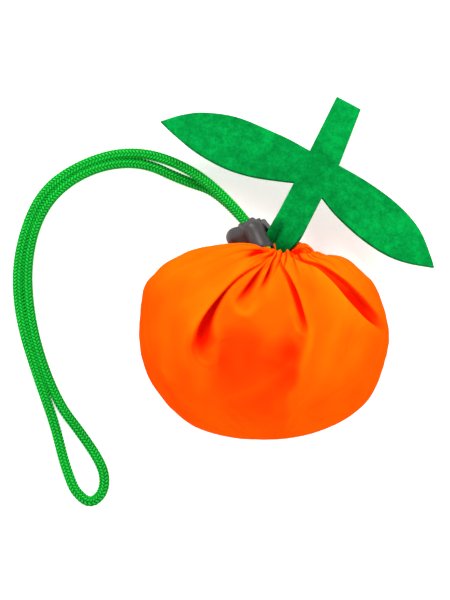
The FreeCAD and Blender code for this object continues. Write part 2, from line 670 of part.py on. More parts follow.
def make_folded_sheet(label, offset):
    """One panel of the bag: a long sheet folded to and fro, and rounded off to fit the pouch."""
    half = size("layer_thick") / 2
    left, right = serpentine(offset + half), serpentine(offset - half)
    edges = left + right
    edges.append(Part.LineSegment(left[0].StartPoint, right[0].StartPoint))
    edges.append(Part.LineSegment(left[-1].EndPoint, right[-1].EndPoint))
    profile = Part.Face(Part.Wire(Part.__sortEdges__([e.toShape() for e in edges])))
    wide = size("pack_x")
    profile.translate(V(-wide, 0, 0))
    folded = solid_feature(label + "_folds", profile.extrude(V(2 * wide, 0, 0)))
    room = doc.addObject("Part::Ellipsoid", label + "_room")
    bind(room, Radius1="Sizes.pack_z", Radius2="Sizes.pack_x", Radius3="Sizes.pack_y")
    room.Placement.Base = V(0, size("pack_middle_y"), size("pack_middle_z"))
    trimmed = doc.addObject("Part::Common", label)
    trimmed.Base, trimmed.Tool = folded, room
    return trimmed


def make_handle(label, x, start_z, radii):
    """A handle of the bag, laid along the folds and tucked in below the mouth."""
    y, drop = size("strap_y"), size("strap_drop")
    points = [V(x, 2, start_z), V(x, y - 12, start_z), V(x, y, start_z - 9), V(x, y, start_z - 9 - drop)]
    return solid_feature(label, ribbon(points, V(1, 0, 0), size("strap_wide"), size("strap_thick"), radii))


def make_tether():
    """The ribbon that joins the bag to the pouch's side seam, so that the pouch can't be lost."""
    y = size("tether_y")
    inside = size("pack_middle_z") + size("tether_rise")
    path = [V(size("tether_start"), y, inside), V(size("tether_bend"), y, inside)]
    path.append(V(size("tether_end"), y, seam_height(y) + 0.1))
    return solid_feature("tote_tether", ribbon(path, V(0, 1, 0), size("tether_wide"), size("tether_thick")))


# --- the seam -------------------------------------------------------------------------------------
def seam_height(y):
    """How high the seam between the two panels lies."""
    rise = (size("mouth_z") - size("pouch_middle")) / (size("mouth_y") + size("pouch_back_end"))
    return size("pouch_middle") + (y + size("pouch_back_end")) * rise


def make_seam():
    """The turned-in edges of both panels, oversewn: a band that runs round inside the seam."""
    slab = Part.makeBox(200, 200, size("seam_thick"), V(-100, -100, -size("seam_thick") / 2))
    rise = math.atan2(size("mouth_z") - size("pouch_middle"), size("mouth_y") + size("pouch_back_end"))
    slab.rotate(V(0, 0, 0), V(1, 0, 0), math.degrees(rise))
    slab.translate(V(0, -size("pouch_back_end"), size("pouch_middle")))
    disc = slab.common(room_inside)
    shrink = FreeCAD.Matrix()
    wide = size("seam_wide")
    shrink.scale(1 - wide / size("pouch_right"), 1 - wide / size("pouch_back_end"), 1)
    band = disc.cut(room_inside.transformGeometry(shrink))
    open_end = Part.makeBox(70, 60, 60, V(size("mouth_x") - 35, 18, 0))
    return solid_feature("edge_overlock_seam", band.cut(open_end))


# --- all of it ------------------------------------------------------------------------------------
front_panel, back_panel, room_inside = make_pouch()
PIECES = [front_panel, back_panel]
PIECES.append(make_seam())
PIECES.append(make_channel())
PIECES.append(make_channel_stitching())
PIECES += make_cords()
PIECES.append(make_whipping())
PIECES.append(make_lock_housing())
PIECES.append(make_lock_plunger())
PIECES.append(make_lock_spring())
PIECES += make_felt()
PIECES.append(make_stem_stitching())
PIECES.append(make_folded_sheet("tote_front_panel", size("layer_offset")))
PIECES.append(make_folded_sheet("tote_back_panel", -size("layer_offset")))
top_layer = size("pack_middle_z") + size("layer_pitch") * (size("layers") - 1) / 2
clear = size("layer_offset") + (size("layer_thick") + size("strap_thick")) / 2 - 0.15
PIECES.append(make_handle("tote_handle_front", -10.0, top_layer + clear, [6.0, 6.0]))
PIECES.append(make_handle("tote_handle_back", 24.0, top_layer - clear, [6.0, 6.0]))
PIECES.append(make_tether())
doc.recompute()

for obj in doc.Objects:
    if {"Invalid", "Error"} & set(obj.State):
        raise RuntimeError(f"{obj.Label} failed: {obj.State}")
os.makedirs("parts", exist_ok=True)
for piece in PIECES:
    shape = piece.Shape
    if shape.isNull() or not shape.isValid():
        raise RuntimeError(f"{piece.Label} has no valid shape")
    shape.exportStep(f"parts/{piece.Label}.step")
    print(f"{piece.Label}: {len(shape.Solids)} solid(s), {shape.Volume:.0f} mm3")
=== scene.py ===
"""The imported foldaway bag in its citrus-shaped pouch: fabric, braided cord, felt leaf, cord lock and stage.

Metres. +X is to the pouch's right, +Y towards its mouth and leaf, +Z up from the table it lies on.
"""
import math

import bmesh
import bpy
import numpy as np
from bpy.props import FloatProperty, FloatVectorProperty, IntProperty, PointerProperty
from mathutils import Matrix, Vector


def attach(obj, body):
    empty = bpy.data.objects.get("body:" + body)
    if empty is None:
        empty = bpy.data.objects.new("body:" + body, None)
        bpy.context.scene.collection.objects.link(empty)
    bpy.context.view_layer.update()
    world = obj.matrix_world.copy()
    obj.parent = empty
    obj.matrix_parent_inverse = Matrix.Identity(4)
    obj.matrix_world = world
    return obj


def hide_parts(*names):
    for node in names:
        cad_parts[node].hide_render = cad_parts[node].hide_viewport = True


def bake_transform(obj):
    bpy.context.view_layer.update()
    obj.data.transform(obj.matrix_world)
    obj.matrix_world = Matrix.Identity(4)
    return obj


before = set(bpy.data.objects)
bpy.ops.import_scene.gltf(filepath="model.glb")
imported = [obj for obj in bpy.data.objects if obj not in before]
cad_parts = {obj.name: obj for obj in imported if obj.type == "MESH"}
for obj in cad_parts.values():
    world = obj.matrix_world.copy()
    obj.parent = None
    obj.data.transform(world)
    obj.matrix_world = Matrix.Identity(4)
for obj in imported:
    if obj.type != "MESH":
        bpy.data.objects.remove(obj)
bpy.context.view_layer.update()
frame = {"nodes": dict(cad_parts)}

bl_info = {
    "name": "Citrus pouch bag",
    "version": (1, 0, 0),
    "blender": (4, 5, 0),
    "location": "View3D > Sidebar > Citrus Pouch",
    "description": "Makes the fabric, cord, felt and lock of a bag packed in a citrus-shaped pouch",
    "category": "Add Mesh",
}

THREAD_PITCH = 0.00032                                    # of the taffeta's weave

# --- places shared by several pieces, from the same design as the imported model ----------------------
MOUTH = np.array((0.0084, 0.0365, 0.030))                 # middle of the ring that the cord runs round
MOUTH_TILT = math.radians(15)
MOUTH_OUT = np.array((0, math.cos(MOUTH_TILT), math.sin(MOUTH_TILT)))
MOUTH_UP = np.array((0, -math.sin(MOUTH_TILT), math.cos(MOUTH_TILT)))
RIGHT = np.array((1.0, 0, 0))
RING_RADIUS = 0.0085
LOCK = np.array((-0.0053, 0.0476, 0.0220))
LOCK_ALONG = np.array((-0.5580, 0.7142, -0.4226))         # the way the cords leave the lock
LOCK_PRESS = np.array((0.7880, 0.6157, 0.0))              # the way its button sticks out
LOCK_UP = np.cross(LOCK_PRESS, LOCK_ALONG)
STEM_ROOT = np.array((0.0099, 0.0469, 0.0264))            # where the felt leaves the mouth and bends
STEM_ACROSS = np.array((0.9070, -0.4210, 0.0))
STEM_ALONG = np.array((0.3904, 0.8410, -0.3746))
STEM_NORMAL = np.cross(STEM_ACROSS, STEM_ALONG)

# the free cord, from the lock's upper hole round to its lower one
LOOP_ROUTE = [
    (-0.006107, 0.048632, 0.02481), (-0.018941, 0.065059, 0.01509), (-0.0410, 0.0784, 0.0050),
    (-0.0605, 0.0810, 0.0027), (-0.0790, 0.0750, 0.0024), (-0.0940, 0.0645, 0.0022),
    (-0.1020, 0.0475, 0.0022), (-0.1055, 0.0285, 0.0022), (-0.1035, 0.0080, 0.0022),
    (-0.0965, -0.0145, 0.0022), (-0.0890, -0.0355, 0.0022), (-0.0855, -0.0500, 0.0022),
    (-0.0825, -0.0590, 0.0022), (-0.0800, -0.0645, 0.0022), (-0.0740, -0.0695, 0.0022),
    (-0.0685, -0.0650, 0.0022), (-0.0675, -0.0575, 0.0022), (-0.0705, -0.0500, 0.0022),
    (-0.0780, -0.0390, 0.0022), (-0.0872, -0.0270, 0.0022), (-0.0952, -0.0078, 0.0022),
    (-0.0999, 0.0118, 0.0022), (-0.1012, 0.0322, 0.0022), (-0.0971, 0.0514, 0.0022),
    (-0.0874, 0.0655, 0.0022), (-0.0706, 0.0750, 0.0022), (-0.0515, 0.0767, 0.0025),
    (-0.0345, 0.0686, 0.0036), (-0.017327, 0.062994, 0.00947), (-0.004493, 0.046568, 0.01919),
]
# the cord's other part, from the lower hole round the mouth to the upper hole
HELD_ROUTE = [
    (-0.004493, 0.046568, 0.01919), (0.0016, 0.0388, 0.0238), (0.0105, 0.0389, 0.0209),
    (0.0174, 0.0374, 0.0267), (0.0163, 0.0351, 0.0354), (0.0081, 0.0340, 0.0393),
    (0.0007, 0.0351, 0.0352), (0.0016, 0.0387, 0.0307), (-0.006107, 0.048632, 0.02481),
]


# --- settings ---------------------------------------------------------------------------------------
def length(name, description, default):
    return FloatProperty(name=name, description=description, default=default, min=0.0, subtype="DISTANCE",
                         unit="LENGTH")


def colour(name, description, default):
    return FloatVectorProperty(name=name, description=description, default=default, min=0.0, max=1.0, size=3,
                               subtype="COLOR")


class PouchSettings(bpy.types.PropertyGroup):
    # The taffeta's colours are the stops of a ramp that paints light and shade: painted light where the
    # fabric is lit most, its plain colour, painted shade where it is lit less, and deeper painted shade in
    # its folds.
    painted_light_colour: colour("Glow", "Colour of the taffeta where it stands clear and light", (1.0, 0.215, 0.002))
    fabric_colour: colour("Fabric", "Colour of the taffeta over most of the pouch", (1.0, 0.122, 0.001))
    painted_shade_colour: colour("Lined", "Colour of the taffeta that lies on the folded bag", (0.97, 0.056, 0.001))
    fold_shade_colour: colour("Folds", "Colour of the taffeta deep in its folds", (0.84, 0.010, 0.0))
    thread_colour: colour("Thread", "Colour of the thread that joins the cord's ends", (0.85, 0.14, 0.004))
    columns: IntProperty(name="Columns", description="Faces of one panel round the mouth", default=400)
    rows: IntProperty(name="Rows", description="Faces of one panel from mouth to far end", default=240)
    sleeve: length("Channel radius", "Outside radius of the gathered channel round the cord", 0.0033)
    smoothing: IntProperty(name="Smoothing", description="Rounds that ease the kinks of the folds", default=2)
    rest_height: length("Rest height", "Height of the flat patch over the table", 0.0002)


class CordSettings(bpy.types.PropertyGroup):
    diameter: length("Diameter", "Diameter of the braided cord", 0.0042)
    loop_length: length("Loop length", "Length of the cord outside the lock", 0.4916)
    lay: length("Lay", "How far along the cord a strand goes once round it", 0.0116)
    strands: IntProperty(name="Strands each way", description="Strands that wind each way", default=8)
    green: colour("Cord", "Colour of the cord's yarn", (0.004, 0.400, 0.030))


class LeafSettings(bpy.types.PropertyGroup):
    thickness: length("Thickness", "Thickness of the felt", 0.0019)
    green: colour("Felt", "Colour of the felt", (0.0006, 0.255, 0.040))
    droop: length("Droop", "How far the leaves' tips hang below the stem's plane", 0.0008)


class LockSettings(bpy.types.PropertyGroup):
    boot: length("Boot", "How far the housing's soft end reaches towards the mouth", 0.0046)
    shorter: length("Shorter", "How far the eyelets draw back at their other end", 0.0032)
    plump: length("Plump", "How far the housing swells at its middle", 0.0016)
    lean: FloatProperty(name="Lean", description="Slope of the barrel along the cords", default=0.22)
    plastic: colour("Plastic", "Colour of the moulded plastic", (0.031, 0.0255, 0.0262))


class StageSettings(bpy.types.PropertyGroup):
    camera_height: length("Camera height", "Height of the camera over the table", 1.5)
    camera_x: FloatProperty(name="Camera X", description="Where the camera looks down", default=-0.0164,
                            unit="LENGTH")
    camera_y: FloatProperty(name="Camera Y", description="Where the camera looks down", default=0.0176,
                            unit="LENGTH")
    lens: FloatProperty(name="Lens", description="Focal length in millimetres", default=210.6)
    floor: colour("Floor", "Colour of the table", (0.92, 0.92, 0.92))


# --- shader maths -----------------------------------------------------------------------------------
class Wire:
    """A node's output that can be used in a sum: each operator adds a Math node."""

    def __init__(self, finish, socket):
        self.finish = finish
        self.socket = socket

    def maths(self, operation, *values):
        return self.finish.node("ShaderNodeMath", {"operation": operation}, dict(enumerate(values)))

    def __add__(self, other):
        return self.maths("ADD", self, other)

    __radd__ = __add__

    def __sub__(self, other):
        return self.maths("SUBTRACT", self, other)

    def __rsub__(self, other):
        return self.maths("SUBTRACT", other, self)

    def __mul__(self, other):
        return self.maths("MULTIPLY", self, other)

    __rmul__ = __mul__

    def clamp(self):
        return self.maths("MAXIMUM", self.maths("MINIMUM", self, 1.0), 0.0)

    def sine(self):
        return self.maths("SINE", self)


class Finish:
    """A material and the nodes that drive its shader."""

    def __init__(self, name, **constants):
        self.material = bpy.data.materials.new(name)
        self.material.use_nodes = True
        self.tree = self.material.node_tree
        self.shader = self.tree.nodes["Principled BSDF"]
        for socket, value in constants.items():
            self.shader.inputs[socket.replace("_", " ")].default_value = value

    def node(self, kind, settings=None, inputs=None, output=0):
        """Adds a node: its settings first, then the values or links of its sockets."""
        made = self.tree.nodes.new(kind)
        for key, value in (settings or {}).items():
            if key == "stops":
                self.set_stops(made.color_ramp, value)
            else:
                setattr(made, key, value)
        for key, value in (inputs or {}).items():
            self.feed(made.inputs[key], value)
        return Wire(self, made.outputs[output])

    def set_stops(self, ramp, stops):
        while len(ramp.elements) < len(stops):
            ramp.elements.new(1.0)
        for element, (place, value) in zip(ramp.elements, stops):
            element.position = place
            element.color = (*value, 1.0)

    def feed(self, socket, value):
        if isinstance(value, Wire):
            self.tree.links.new(value.socket, socket)
        elif hasattr(value, "__len__") and socket.type == "RGBA":
            socket.default_value = (*value, 1.0)[:4]
        else:
            socket.default_value = value

    def set(self, socket, value):
        self.feed(self.shader.inputs[socket], value)

    def place(self):
        """The piece's own coordinates, in metres."""
        return self.node("ShaderNodeTexCoord", output="Object")

    def weave_map(self):
        """The piece's own map, in metres."""
        return self.node("ShaderNodeUVMap", {"uv_map": "weave"})

    def split(self, vector):
        """The first two parts of a vector."""
        first = self.node("ShaderNodeSeparateXYZ", {}, {0: vector})
        return first, Wire(self, first.socket.node.outputs[1])

    def attribute(self, name):
        return self.node("ShaderNodeAttribute", {"attribute_name": name}, output="Fac")

    def noise(self, scale, detail=3.0, roughness=0.5):
        return self.node("ShaderNodeTexNoise", {}, {"Vector": self.place(), "Scale": scale,
                                                    "Detail": detail, "Roughness": roughness}, "Fac")

    def ramp(self, factor, stops):
        return self.node("ShaderNodeValToRGB", {"stops": stops}, {"Fac": factor})

    def mix(self, factor, first, second):
        return self.node("ShaderNodeMix", {"data_type": "RGBA"}, {0: factor, 6: first, 7: second}, 2)

    def bump(self, height, distance, strength=1.0, normal=None):
        inputs = {"Height": height, "Distance": distance, "Strength": strength}
        if normal:
            inputs["Normal"] = normal
        return self.node("ShaderNodeBump", {}, inputs)

    def threads(self, pitch, u, v):
        """The relief of a plain weave with threads a pitch apart."""
        rate = math.tau / pitch / 2
        return (u * rate).sine() * (v * rate).sine()

    def put_on(self, *objects):
        for obj in objects:
            obj.data.materials.clear()
            obj.data.materials.append(self.material)


# --- mesh helpers -----------------------------------------------------------------------------------
def new_object(name, bm):
    mesh = bpy.data.meshes.new(name)
    bm.to_mesh(mesh)
    bm.free()
    for polygon in mesh.polygons:
        polygon.use_smooth = True
    obj = bpy.data.objects.new(name, mesh)
    bpy.context.scene.collection.objects.link(obj)
    return obj


def grid_mesh(columns, rows):
    """A grid over the unit square, and the two coordinates of its points."""
    bm = bmesh.new()
    bmesh.ops.create_grid(bm, x_segments=columns, y_segments=rows, size=0.5)
    bmesh.ops.translate(bm, verts=bm.verts, vec=(0.5, 0.5, 0.0))
    uv = np.array([v.co[:2] for v in bm.verts])
    return bm, uv[:, 0], uv[:, 1]


def move_points(bm, places):
    for vert, place in zip(bm.verts, places):
        vert.co = place


def add_weave_map(bm, u, v):
    """Stores a map in metres, so that a weave keeps its scale."""
    layer = bm.loops.layers.uv.new("weave")
    bm.verts.index_update()
    for face in bm.faces:
        for loop in face.loops:
            loop[layer].uv = (u[loop.vert.index], v[loop.vert.index])


def store_values(bm, name, values):
    """Stores a number at each point, for a material to read."""
    layer = bm.verts.layers.float.new(name)
    for vert, value in zip(bm.verts, values):
        vert[layer] = value


SPAN_STEPS = 24                                           # of a smooth curve between two of its points


def curve_through(points, count):
    """Places spaced evenly along a smooth curve that goes through every point."""
    p = np.array(points, float)
    p = np.vstack([2 * p[0] - p[1], p, 2 * p[-1] - p[-2]])
    t = np.linspace(0, 1, SPAN_STEPS, endpoint=False)[:, None]
    spans = [0.5 * (2 * b + (c - a) * t + (2 * a - 5 * b + 4 * c - d) * t ** 2
                    + (3 * b - a - 3 * c + d) * t ** 3)
             for a, b, c, d in zip(p, p[1:], p[2:], p[3:])]
    fine = np.vstack(spans + [p[-2:-1]])
    gone = np.r_[0, np.cumsum(np.linalg.norm(np.diff(fine, axis=0), axis=1))]
    at = np.linspace(0, gone[-1], count)
    return np.column_stack([np.interp(at, gone, fine[:, k]) for k in range(p.shape[1])])


def unit(vectors):
    return vectors / np.maximum(np.linalg.norm(vectors, axis=-1, keepdims=True), 1e-12)


def smooth_step(low, high, values):
    t = np.clip((values - low) / (high - low), 0, 1)
    return t * t * (3 - 2 * t)


# --- the cord ---------------------------------------------------------------------------------------
def route_points(name, route):
    """Points along the smooth line of a cord's route, as its spline gives them."""
    curve = bpy.data.curves.new(name, "CURVE")
    curve.dimensions = "3D"
    curve.resolution_u = 24
    spline = curve.splines.new("NURBS")
    spline.points.add(len(route) - 1)
    for point, place in zip(spline.points, route):
        point.co = (*place, 1.0)
    spline.order_u = 3
    spline.use_endpoint_u = True
    holder = bpy.data.objects.new(name, curve)
    bpy.context.scene.collection.objects.link(holder)
    bpy.context.view_layer.update()
    mesh = bpy.data.meshes.new_from_object(holder)
    points = np.array([v.co for v in mesh.vertices])
    bpy.data.objects.remove(holder)
    bpy.data.meshes.remove(mesh)
    return points


def even_line(points, step):
    """How far along a line its points lie, a step apart, the points, and two directions square to it."""
    gone = np.r_[0, np.cumsum(np.linalg.norm(np.diff(points, axis=0), axis=1))]
    count = max(int(gone[-1] / step), 2) + 1
    at = np.linspace(0, gone[-1], count)
    line = np.column_stack([np.interp(at, gone, points[:, k]) for k in range(3)])
    ahead = unit(np.gradient(line, axis=0))
    side = np.zeros_like(line)
    side[0] = unit(np.cross(ahead[0], (0.0, 0.0, 1.0)))
    for k in range(1, count):
        carried = side[k - 1] - ahead[k] * side[k - 1].dot(ahead[k])
        side[k] = carried / np.linalg.norm(carried)
    return at, line, side, np.cross(ahead, side)


STEPS_PER_LAY = 24                                        # points of a strand in one turn round the cord
STRAND_SIDES = 5
STRAND_WIDE, STRAND_THICK = 0.00054, 0.00034              # half sizes of a strand
STRAND_RISE = 0.00030                                     # how far a strand rises over those it crosses
BRAID_INSIDE = 0.00008                                    # how far the braid stays inside its diameter


def braid(name, points, settings):
    """A round braid: strands wind both ways, each over two and under two of the others."""
    ways = settings.strands
    middle_radius = settings.diameter / 2 - STRAND_RISE - BRAID_INSIDE
    at, line, side, up = even_line(points, settings.lay / STEPS_PER_LAY)
    bm = bmesh.new()
    layer = bm.verts.layers.float.new("proud")
    for way in (1, -1):
        for k in range(ways):
            angle = math.tau * k / ways + way * math.tau * at / settings.lay
            wave = way * np.cos(math.pi * (k + way * ways * at / settings.lay - 0.25))
            out = side * np.cos(angle)[:, None] + up * np.sin(angle)[:, None]
            centre = line + out * (middle_radius + STRAND_RISE * wave)[:, None]
            heading = unit(np.gradient(centre, axis=0))
            flat = np.cross(out, heading)
            first = len(bm.verts)
            bmesh.ops.create_grid(bm, x_segments=len(at) - 1, y_segments=STRAND_SIDES, size=0.5)
            bm.verts.ensure_lookup_table()
            added = bm.verts[first:]
            shares = np.array([v.co[:2] for v in added]) + 0.5
            index = np.rint(shares[:, 0] * (len(at) - 1)).astype(int)
            turn = math.tau * shares[:, 1]
            places = (centre[index] + flat[index] * (STRAND_WIDE * np.cos(turn))[:, None]
                      + out[index] * (STRAND_THICK * np.sin(turn))[:, None])
            # Painted shade where a strand goes under the others, painted highlight where it lies over them.
            crest = 0.5 + 0.5 * wave[index] * np.sin(turn).clip(0, 1)
            for vert, place, high in zip(added, places, crest):
                vert.co = place
                vert[layer] = high
    bmesh.ops.remove_doubles(bm, verts=bm.verts, dist=1e-7)
    bmesh.ops.recalc_face_normals(bm, faces=bm.faces)
    return new_object(name, bm)


def cord_finish(settings):
    finish = Finish("cord yarn", Roughness=0.55, Specular_IOR_Level=0.08)
    green = Vector(settings.green)
    streaks = finish.noise(900.0, 2.0)
    drift = finish.noise(60.0, 2.0)
    # The proud parts of the strands get painted highlight and the parts under the others painted shade; the
    # streaks and drift are random tone.
    tone = (finish.attribute("proud") + (streaks - 0.5) * 0.3 + (drift - 0.5) * 0.2).clamp()
    stops = [(0.20, green * 0.16), (0.50, green * 0.55), (0.75, green * 1.15), (0.98, green * 1.9)]
    finish.set("Base Color", finish.ramp(tone, stops))
    finish.set("Normal", finish.bump(finish.noise(2600.0, 2.0), 0.00008, 0.6))
    return finish


class CITRUS_OT_cord(bpy.types.Operator):
    """Braid the drawcord: its free loop, and the part that the lock and the channel hold"""
    bl_idname = "citrus.cord"
    bl_label = "Drawcord"

    def execute(self, context):
        settings = context.scene.citrus_cord
        finish = cord_finish(settings)
        points = route_points("loop route", LOOP_ROUTE)
        loop = braid("braided_loop", points, settings)
        held = braid("braided_cord_in_mouth", route_points("held route", HELD_ROUTE), settings)
        finish.put_on(loop, held)
        for obj, node in ((loop, "drawcord_loop"), (held, "drawcord_in_channel")):
            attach(obj, "pouch")
            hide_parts(node)
        return {"FINISHED"}


# --- the pouch --------------------------------------------------------------------------------------
# Four profiles of the pouch beyond its mouth, each from the channel to the far end.
CHANNEL_START, CHANNEL_END = math.radians(205), math.radians(-30)
LIP_END = math.radians(52)                                # where the front panel leaves the channel
RIGHT_SIDE = [                                            # x, y
    (0.0236, 0.0362), (0.0268, 0.0350), (0.0302, 0.0354), (0.0345, 0.0340), (0.0388, 0.0306),
    (0.0441, 0.0260), (0.0466, 0.0227), (0.0486, 0.0180), (0.0512, 0.0100), (0.0524, 0.0030),
    (0.0519, -0.0030), (0.0505, -0.0085), (0.0487, -0.0143), (0.0455, -0.0215), (0.0400, -0.0280),
    (0.0320, -0.0335), (0.0218, -0.0378), (0.0110, -0.0402), (0.0, -0.0411),
]
LEFT_SIDE = [                                             # x, y
    (-0.0026, 0.0386), (-0.0056, 0.0404), (-0.0110, 0.0412), (-0.0190, 0.0408), (-0.0277, 0.0394),
    (-0.0360, 0.0363), (-0.0424, 0.0326), (-0.0462, 0.0288), (-0.0491, 0.0258), (-0.0507, 0.0220),
    (-0.0516, 0.0165), (-0.0522, 0.0090), (-0.0524, 0.0030), (-0.0519, -0.0035), (-0.0507, -0.0090),
    (-0.0485, -0.0148), (-0.0445, -0.0212), (-0.0391, -0.0278), (-0.0315, -0.0339), (-0.0230, -0.0378),
    (-0.0115, -0.0403), (0.0, -0.0411),
]
FRONT = [                                                 # y, z
    (0.0338, 0.0430), (0.0315, 0.0452), (0.0285, 0.0478), (0.0240, 0.0509), (0.0165, 0.0541),
    (0.0070, 0.0558), (-0.0030, 0.0558), (-0.0130, 0.0544), (-0.0220, 0.0513), (-0.0300, 0.0462),
    (-0.0360, 0.0400), (-0.0398, 0.0332), (-0.0411, 0.0260),
]
BACK = [                                                  # y, z
    (0.0372, 0.0160), (0.0335, 0.0108), (0.0270, 0.0045), (0.0190, 0.0002), (0.0100, -0.0026),
    (-0.0020, -0.0030), (-0.0130, -0.0018), (-0.0220, 0.0030), (-0.0300, 0.0090), (-0.0365, 0.0170),
    (-0.0411, 0.0260),
]
BODY_START = 0.14                                         # share of the rows that go round the channel
BODY_SAMPLES = 400
FAR_HEIGHT = 0.026                                        # of the pouch's far end
SHOULDER_LEAN = 0.005                                     # how far the front's shoulders lean past the back's
JOIN_REACH = 0.05                                         # share of the body that eases into the channel


def pouch_profiles(sleeve):
    """The four profiles, each starting where the fabric leaves the channel."""
    made = []
    for out, axes, rest, end in ((RIGHT, (0, 1), RIGHT_SIDE, CHANNEL_END),
                                 (-RIGHT, (0, 1), LEFT_SIDE, CHANNEL_END),
                                 (MOUTH_UP, (1, 2), FRONT, LIP_END),
                                 (-MOUTH_UP, (1, 2), BACK, CHANNEL_END)):
        start = MOUTH + out * (RING_RADIUS + sleeve * math.cos(end)) + MOUTH_OUT * sleeve * math.sin(end)
        made.append(curve_through([start[list(axes)]] + rest, BODY_SAMPLES))
    return made


def ring_points(angle, turn, sleeve):
    """Points of the channel, by angle round the mouth and turn round the cord."""
    spoke = RIGHT * np.cos(angle)[:, None] + MOUTH_UP * np.sin(angle)[:, None]
    points = MOUTH + spoke * (RING_RADIUS + sleeve * np.cos(turn))[:, None]
    return points + MOUTH_OUT * (sleeve * np.sin(turn))[:, None]


def body_points(angle, body, sleeve):
    """Points of the smooth pouch beyond its channel."""
    right, left, front, back = pouch_profiles(sleeve)
    at = body * (BODY_SAMPLES - 1)
    grid = np.arange(BODY_SAMPLES)

    def read(profile):
        return np.interp(at, grid, profile[:, 0]), np.interp(at, grid, profile[:, 1])

    right_x, right_y = read(right)
    left_x, left_y = read(left)
    front_y, front_z = read(front)
    back_y, back_z = read(back)
    fullness = 2 + 0.35 * smooth_step(0, 0.5, body)
    c, s = np.cos(angle), np.sin(angle)
    cc = np.sign(c) * np.abs(c) ** (2 / fullness)
    ss = np.sign(s) * np.abs(s) ** (2 / fullness)
    fade = (1 - body) ** 2
    middle_x = MOUTH[0] * fade
    middle_z = FAR_HEIGHT + (MOUTH[2] - FAR_HEIGHT) * fade
    x = middle_x + np.where(c >= 0, (right_x - middle_x) * cc, (middle_x - left_x) * cc)
    z = middle_z + np.where(s >= 0, (front_z - middle_z) * ss, (middle_z - back_z) * ss)
    side_y = (right_y + left_y) / 2 + (right_y - left_y) / 2 * c
    y = side_y + (front_y - back_y) / 2 * s + ((front_y + back_y) / 2 - side_y) * s * s
    lean = SHOULDER_LEAN * smooth_step(0, 0.12, body) * (1 - smooth_step(0.12, 0.5, body))
    return np.column_stack([x, y + lean * s * c * c, z])


def pouch_surface(angle, share, sleeve):
    """Points of the smooth pouch, by angle round the mouth and share of the way to the far end."""
    body = np.clip((share - BODY_START) / (1 - BODY_START), 0, 1)
    end = CHANNEL_END + (LIP_END - CHANNEL_END) * smooth_step(-0.1, 0.75, np.sin(angle))
    turn = CHANNEL_START + (end - CHANNEL_START) * np.clip(share / BODY_START, 0, 1)
    ring = ring_points(angle, turn, sleeve)
    join = ring_points(angle, end, sleeve) - body_points(angle, np.zeros_like(body), sleeve)
    points = body_points(angle, body, sleeve) + join * np.exp(-(body / JOIN_REACH) ** 1.5)[:, None]
    return np.where((share < BODY_START)[:, None], ring, points)


